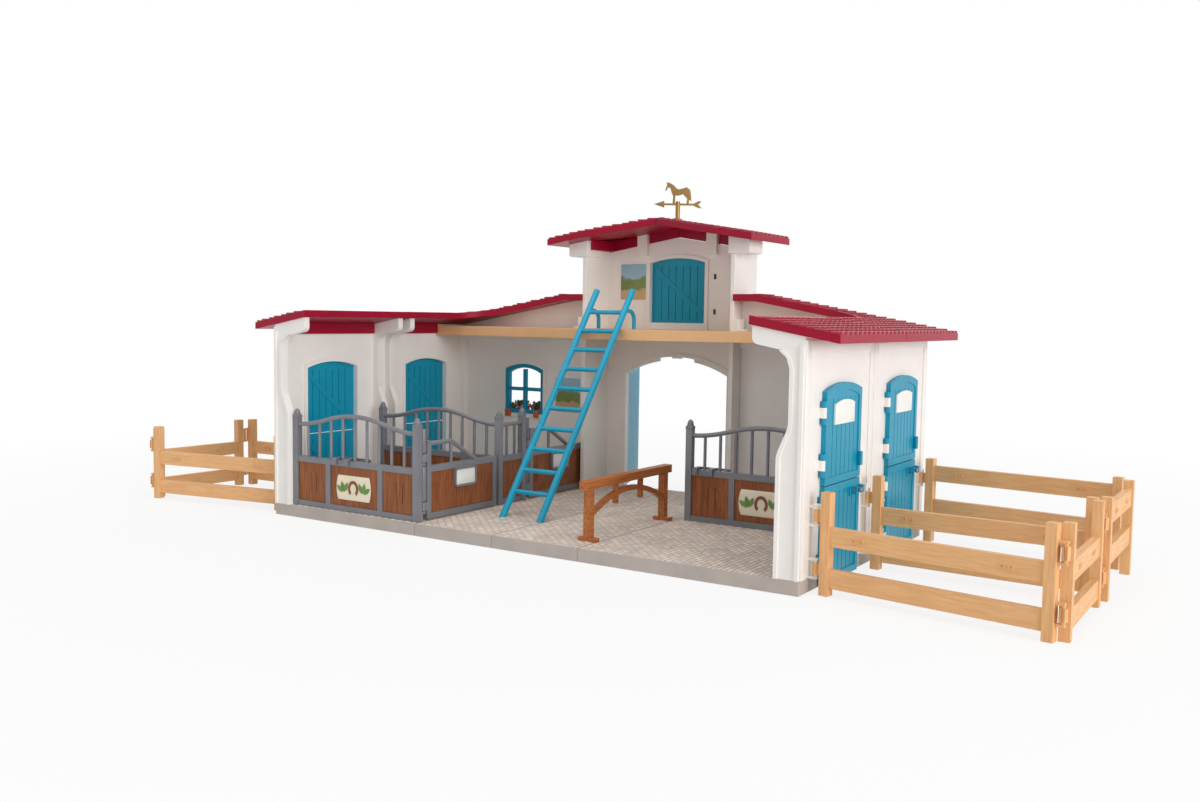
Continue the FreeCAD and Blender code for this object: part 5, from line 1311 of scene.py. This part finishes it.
# Sprig on a plaque: place, lean and spread of its leaves in degrees, stalk, and a leaf's size
SPRIG_PLACE = (11.0 * MM, -5.0 * MM)
SPRIG_LEAN = 14
SPRIG_TURNS = (-38, 0, 38)
SPRIG_STALK = 1.6 * MM
SPRIG_HALF, SPRIG_LONG = 2.0 * MM, 9.0 * MM
SPRIG_STEPS = 6
SPRIG_PROUD = 0.35 * MM


class DressStalls(bpy.types.Operator):
    """Iron-grey stall frames with capped posts, brown boards, troughs, plaques and blank name plates"""
    bl_idname = "stable.dress_stalls"
    bl_label = "Stalls"

    def execute(self, context):
        grey, card, planks = iron_finish(), card_finish(), board_finish()
        for name in ("stall_front_frame", "stall_divider_frame", "stall_right_frame", "gate_front_frame",
                     "gate_rear_frame", "feed_troughs"):
            finish_node(name, grey, STALL_SOFT)
        for name in ("stall_boards", "gate_front_boards", "gate_rear_boards"):
            finish_node(name, planks, BOARD_SOFT)
        piece("post_caps", post_caps(), ROOT, grey)
        for gate in ("gate_front", "gate_rear"):
            low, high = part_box(gate + "_boards")
            middle = Vector((high.x + PLATE_OFF, (low.y + high.y) / 2 + PLATE_SHIFT, PLATE_HEIGHT))
            face = facing(middle, BACKWARD, UP)
            piece("name_plate_" + gate, plate_frame(face), gate, grey)
            piece("name_card_" + gate, plate_card(face), gate, card)
            piece("hinge_tube_" + gate, hinge_tube(HINGES[gate]), gate, grey)
        cream = moulded("plaque_cream", finishes().cream, roughness=0.4, shade=0.03)
        brown = moulded("plaque_brown", finishes().shoe, roughness=0.45, shade=0.12)
        green = moulded("plaque_green", finishes().sprig, roughness=0.45, shade=0.12, spread=0.15)
        for panel, (x, y) in PLAQUES.items():
            face = facing(Vector((x, y, PLAQUE_HEIGHT)), RIGHT, UP)
            piece("plaque_" + panel, plaque(face), ROOT, cream)
            piece("plaque_shoe_" + panel, plaque_shoe(face), ROOT, brown)
            piece("plaque_sprigs_" + panel, plaque_sprigs(face), ROOT, green)
        return {"FINISHED"}


def post_caps():
    """Shoulders and round knob on each stall post."""
    bm = bmesh.new()
    wide = POST_HALF + CAP_WIDE
    for x, y in POSTS:
        block(bm, (x - wide, y - wide, POST_TOP - CAP_COLLAR),
              (x + wide, y + wide, POST_TOP + CAP_COLLAR / 2), CAP_SOFT)
        knob = Matrix.Translation((x, y, POST_TOP + CAP_RISE)) @ Matrix.Diagonal((*CAP_KNOB, 1))
        ball(bm, 1, knob)
    return bm


def hinge_tube(axis):
    """Round tube of a gate along its hinge axis, between and above its eyes, with webs to the stile."""
    bm = bmesh.new()
    for low, high in TUBE_SPANS:
        place = Matrix.Translation((axis.x, axis.y, (low + high) / 2))
        rim = bmesh.ops.create_cone(bm, cap_ends=True, segments=20, radius1=TUBE_RADIUS, radius2=TUBE_RADIUS,
                                    depth=high - low, matrix=place)["verts"]
        ends = [edge for edge in {e for v in rim for e in v.link_edges}
                if edge.verts[0].co.z == edge.verts[1].co.z]
        soften(bm, ends, TUBE_SOFT, clamp=False)
        block(bm, (axis.x - WEB_HALF, axis.y, low + WEB_INSET),
              (axis.x + WEB_HALF, axis.y + WEB_REACH, min(high, WEB_TOP)), WEB_SOFT)
    return bm


def plate_frame(face):
    """Raised rim and back of a name plate."""
    size = sizes()
    bm = bmesh.new()
    outer = round_rect(size.plate_width, size.plate_high, PLATE_ROUND)
    rims = 2 * PLATE_RIM
    inner = round_rect(size.plate_width - rims, size.plate_high - rims, PLATE_ROUND - PLATE_RIM)
    band(bm, inner, outer, PLATE_BACK, PLATE_RIM_TOP, face, closed=True)
    slab(bm, inner, PLATE_BACK, PLATE_BED, face)
    return bm


def plate_card(face):
    """Blank card inside the rim of a name plate."""
    size = sizes()
    bm = bmesh.new()
    inset = PLATE_RIM + PLATE_CARD_GAP
    line = round_rect(size.plate_width - 2 * inset, size.plate_high - 2 * inset, PLATE_ROUND - inset)
    slab(bm, line, PLATE_BED, PLATE_CARD_TOP, face, CARD_SOFT)
    return bm


def plaque(face):
    """Blank plaque with straight upper and lower edges and bulging sides."""
    size = sizes()
    half, high = size.plaque_width / 2, size.plaque_high / 2
    side = arch_line(high, half, half, PLAQUE_BULGE, steps=PLAQUE_STEPS)[1:-1]
    line = [(v, -u) for u, v in side] + [(-v, u) for u, v in side]
    bm = bmesh.new()
    slab(bm, line, -SINK, PLAQUE_LIFT, face, PLAQUE_SOFT)
    return bm


def plaque_shoe(face):
    """Horseshoe in the middle of a plaque."""
    bm = bmesh.new()
    turns = [math.radians(SHOE_START + SHOE_TURN * i / SHOE_STEPS) for i in range(SHOE_STEPS + 1)]
    inner, outer = [[(u, v - SHOE_DROP) for u, v in oval(*half, turns)] for half in (SHOE_INNER, SHOE_OUTER)]
    band(bm, inner, outer, PLAQUE_LIFT - SINK, PLAQUE_LIFT + SHOE_PROUD, face)
    return bm


def sprig_leaf():
    """Outline of a pointed leaf from its stalk."""
    shares = [i / SPRIG_STEPS for i in range(SPRIG_STEPS + 1)]
    half = [(SPRIG_HALF * math.sin(math.pi * share), SPRIG_LONG * share) for share in shares]
    return half + [(-u, v) for u, v in reversed(half[1:-1])]


def plaque_sprigs(face):
    """A sprig of three leaves on each side of the horseshoe."""
    bm = bmesh.new()
    across, up = SPRIG_PLACE
    for side in (-1, 1):
        foot = face @ Matrix.Translation((side * across, up, 0))
        for turn in SPRIG_TURNS:
            place = foot @ turn_z(turn - side * SPRIG_LEAN) @ Matrix.Translation((0, SPRIG_STALK, 0))
            slab(bm, sprig_leaf(), PLAQUE_LIFT - SINK, PLAQUE_LIFT + SPRIG_PROUD, place)
    return bm


# Hitching rail and fences

HITCH_SOFT = 0.5 * MM
# Far enough past the hitching rail's ends for all its grain to run along it
HITCH_PAST = 1.0 * MM
FENCE_SOFT = 0.55 * MM
FENCE_POST = 6.6 * MM
FENCE_LINK = 8.8 * MM
RAIL_FACE = 2.3 * MM
RIVET = 1.7 * MM
RIVET_HOLE = RIVET / 2
RIVET_STEPS = 12
RIVET_PROUD = 0.5 * MM
RIVET_GAP = 5.4 * MM
RIVET_INSET = 22.0 * MM
UPPER_RAIL, UPPER_RAIL_FLIPPED = 39.25 * MM, 56.25 * MM
FLIPPED = ("fence_right_side_rear", "fence_right_rear")


class DressHitchingRail(bpy.types.Operator):
    """Brown hitching rail with moulded grain"""
    bl_idname = "stable.dress_hitching_rail"
    bl_label = "Hitching rail"

    def execute(self, context):
        low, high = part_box("hitching_rail")
        half = (high.y - low.y) / 2 + HITCH_PAST
        material = framed_wood("brown_rail", finishes().rail_pale, finishes().rail_dark, (low + high) / 2,
                               math.radians(90), half, roughness=0.42)
        finish_node("hitching_rail", material, HITCH_SOFT)
        return {"FINISHED"}


class DressFences(bpy.types.Operator):
    """Tan fence panels with moulded grain and rivets"""
    bl_idname = "stable.dress_fences"
    bl_label = "Fences"

    def execute(self, context):
        for name, node in frame["nodes"].items():
            if not name.startswith("fence_"):
                continue
            middle, turn, half = panel_line(node)
            material = framed_wood("grain_" + name, finishes().fence_pale, finishes().fence_dark, middle,
                                   turn, half - FENCE_POST, roughness=0.46, lines=760.0, depth=0.1 * MM)
            finish_node(name, material, FENCE_SOFT)
            body = name if name in frame["bodies"] else ROOT
            piece("rivets_" + name, rivets(name, middle, turn, half), body, material)
        return {"FINISHED"}


def panel_line(node):
    """Middle, turn and half length of a fence panel, from the spread of its vertices seen from above."""
    points = [v.co.xy for v in node.data.vertices]
    low = Vector([min(p[i] for p in points) for i in (0, 1)])
    high = Vector([max(p[i] for p in points) for i in (0, 1)])
    middle = (low + high) / 2
    xx = sum((p.x - middle.x) ** 2 for p in points)
    yy = sum((p.y - middle.y) ** 2 for p in points)
    xy = sum((p.x - middle.x) * (p.y - middle.y) for p in points)
    turn = math.atan2(2 * xy, xx - yy) / 2
    along = Vector((math.cos(turn), math.sin(turn)))
    half = max(abs((p - middle).dot(along)) for p in points) - FENCE_LINK
    return Vector((middle.x, middle.y, 0)), turn, half


def rivets(name, middle, turn, half):
    """A pair of ring rivets at both ends of the upper rail, on both faces."""
    level = UPPER_RAIL_FLIPPED if name in FLIPPED else UPPER_RAIL
    turns = [2 * math.pi * i / RIVET_STEPS for i in range(RIVET_STEPS)]
    inner, outer = oval(RIVET_HOLE, RIVET_HOLE, turns), oval(RIVET, RIVET, turns)
    bm = bmesh.new()
    panel = Matrix.Translation(middle) @ Matrix.Rotation(turn, 4, "Z")
    for face in (-1, 1):
        out = facing(Vector((0, face * RAIL_FACE, level)), RIGHT * -face, UP)
        for end in (-1, 1):
            for step in (0, 1):
                along = end * (half - RIVET_INSET - step * RIVET_GAP)
                place = panel @ Matrix.Translation((along, 0, 0)) @ out
                band(bm, inner, outer, -SINK, RIVET_PROUD, place, closed=True)
    return bm


# Weather vane

VANE_POST_SOFT = 0.25 * MM
VANE_SOFT = 0.4 * MM


class ShapeVane(bpy.types.Operator):
    """Gold weather vane"""
    bl_idname = "stable.shape_vane"
    bl_label = "Weather vane"

    def execute(self, context):
        gold = gold_finish()
        finish_node("vane_post", gold, VANE_POST_SOFT)
        finish_node("weather_vane", gold, VANE_SOFT)
        return {"FINISHED"}


# Stage

FLOOR_SPAN = 30.0
FLOOR_DROP = 0.2 * MM
# The paper's paler patches, as a share of its colour
PAPER_PALER = 1.02
WHITE = (1, 1, 1, 1)
TARGET = Vector((0, 0, 0.1))
# Soft lights: width and place
LIGHTS = {"key": (1.6, Vector((3.0, -0.95, 0.8))), "fill": (1.4, Vector((-1.1, -1.5, 0.9))),
          "top": (2.0, Vector((0.3, -0.4, 2.6)))}
SENSOR_WIDTH = 36


class SetStage(bpy.types.Operator):
    """Pale floor, soft lights and the camera"""
    bl_idname = "stable.set_stage"
    bl_label = "Stage"

    def execute(self, context):
        stage = context.scene.stable_stage
        context.scene.view_settings.view_transform = "Standard"
        paper_floor(stage)
        even_sky(stage)
        for name, (width, place) in LIGHTS.items():
            soft_light(name, getattr(stage, name), width, place)
        place_camera(stage)
        return {"FINISHED"}


def paper_floor(stage):
    """Large pale floor that is white where the camera sees it far off and keeps the object's shadow."""
    bm = bmesh.new()
    bmesh.ops.create_grid(bm, x_segments=8, y_segments=8, size=FLOOR_SPAN / 2)
    mesh = bpy.data.meshes.new("paper_floor")
    bm.to_mesh(mesh)
    bm.free()
    floor = bpy.data.objects.new("paper_floor", mesh)
    floor.location.z = -FLOOR_DROP
    bpy.context.scene.collection.objects.link(floor)
    material, tree, shader = blank("paper")
    coords = object_coords(tree)
    fine = put(tree, "ShaderNodeTexNoise", {"Vector": coords, "Scale": 60.0, "Detail": 3.0}).outputs["Fac"]
    paler = [share * PAPER_PALER for share in stage.paper]
    tree.links.new(mixed(tree, fine, (*stage.paper, 1), (*paler, 1)), shader.inputs["Base Color"])
    shader.inputs["Roughness"].default_value = 0.7
    away = put(tree, "ShaderNodeVectorMath", {0: coords}, operation="LENGTH").outputs["Value"]
    glow = remap(tree, away, stage.glow_from, stage.glow_to, stage.glow, 1.0)
    share = maths(tree, "MULTIPLY", seen_directly(tree), glow)
    white = put(tree, "ShaderNodeEmission", {"Color": WHITE, "Strength": 1.0})
    mix = put(tree, "ShaderNodeMixShader", {0: share, 1: shader.outputs[0], 2: white.outputs[0]})
    tree.links.new(mix.outputs[0], tree.nodes["Material Output"].inputs["Surface"])
    mesh.materials.append(material)


def seen_directly(tree):
    """One for rays from the camera and for reflected and refracted ones, else zero."""
    path = put(tree, "ShaderNodeLightPath").outputs
    seen = maths(tree, "MAXIMUM", path["Is Camera Ray"], path["Is Glossy Ray"])
    return maths(tree, "MAXIMUM", seen, path["Is Transmission Ray"])


def even_sky(stage):
    """Even white light, with a white background for what looks at it directly."""
    world = bpy.data.worlds.new("studio")
    bpy.context.scene.world = world
    world.use_nodes = True
    tree = world.node_tree
    light = tree.nodes["Background"]
    light.inputs["Color"].default_value = WHITE
    light.inputs["Strength"].default_value = stage.sky
    white = put(tree, "ShaderNodeBackground", {"Color": WHITE, "Strength": 1.0})
    mix = put(tree, "ShaderNodeMixShader", {0: seen_directly(tree), 1: light.outputs[0], 2: white.outputs[0]})
    tree.links.new(mix.outputs[0], tree.nodes["World Output"].inputs["Surface"])


def soft_light(name, energy, width, place):
    """Square lamp that looks at the stable."""
    lamp = bpy.data.lights.new(name, "AREA")
    lamp.energy = energy
    lamp.size = width
    light = bpy.data.objects.new(name, lamp)
    light.location = place
    light.rotation_euler = (TARGET - place).to_track_quat("-Z", "Y").to_euler()
    bpy.context.scene.collection.objects.link(light)


def place_camera(stage):
    """Camera from its place, yaw, pitch and roll."""
    data = bpy.data.cameras.new("camera")
    data.lens = stage.lens
    data.sensor_width = SENSOR_WIDTH
    data.sensor_fit = "HORIZONTAL"
    camera = bpy.data.objects.new("camera", data)
    level = Vector((math.cos(stage.yaw), math.sin(stage.yaw), 0))
    ahead = UP.cross(level) * math.cos(stage.pitch) - UP * math.sin(stage.pitch)
    upright = level.cross(ahead)
    across = level * math.cos(stage.roll) + upright * math.sin(stage.roll)
    up = upright * math.cos(stage.roll) - level * math.sin(stage.roll)
    camera.matrix_world = facing(Vector(stage.camera), across, up)
    bpy.context.scene.collection.objects.link(camera)
    bpy.context.scene.camera = camera


OPERATORS = (DressWalls, LayCobbles, LayTiles, DressDoors, DressWindows, DressLoft, DressStalls,
             DressHitchingRail, DressFences, ShapeVane, SetStage)


class StablePanel(bpy.types.Panel):
    """Lists the stable's operators and values"""
    bl_idname = "VIEW3D_PT_stable"
    bl_label = "Toy Horse Stable"
    bl_space_type = "VIEW_3D"
    bl_region_type = "UI"
    bl_category = "Stable"

    def draw(self, context):
        for operator in OPERATORS:
            self.layout.operator(operator.bl_idname)
        scene = context.scene
        for values in (scene.stable_finishes, scene.stable_sizes, scene.stable_stage):
            box = self.layout.box()
            for name in values.__annotations__:
                box.prop(values, name)


CLASSES = PROPERTY_GROUPS + OPERATORS + (StablePanel,)


def register():
    for item in CLASSES:
        bpy.utils.register_class(item)
    bpy.types.Scene.stable_finishes = PointerProperty(type=StableFinishes)
    bpy.types.Scene.stable_sizes = PointerProperty(type=StableSizes)
    bpy.types.Scene.stable_stage = PointerProperty(type=StableStage)


def unregister():
    del bpy.types.Scene.stable_stage
    del bpy.types.Scene.stable_sizes
    del bpy.types.Scene.stable_finishes
    for item in reversed(CLASSES):
        bpy.utils.unregister_class(item)


def corners(bounds):
    return [[float(value) for value in corner] for corner in bounds]


def main():
    register()
    bpy.ops.stable.dress_walls()
    bpy.ops.stable.lay_cobbles()
    bpy.ops.stable.lay_tiles()
    bpy.ops.stable.dress_doors()
    bpy.ops.stable.dress_windows()
    bpy.ops.stable.dress_loft()
    bpy.ops.stable.dress_stalls()
    bpy.ops.stable.dress_hitching_rail()
    bpy.ops.stable.dress_fences()
    bpy.ops.stable.shape_vane()
    bpy.ops.stable.set_stage()


if __name__ == "__main__":
    main()
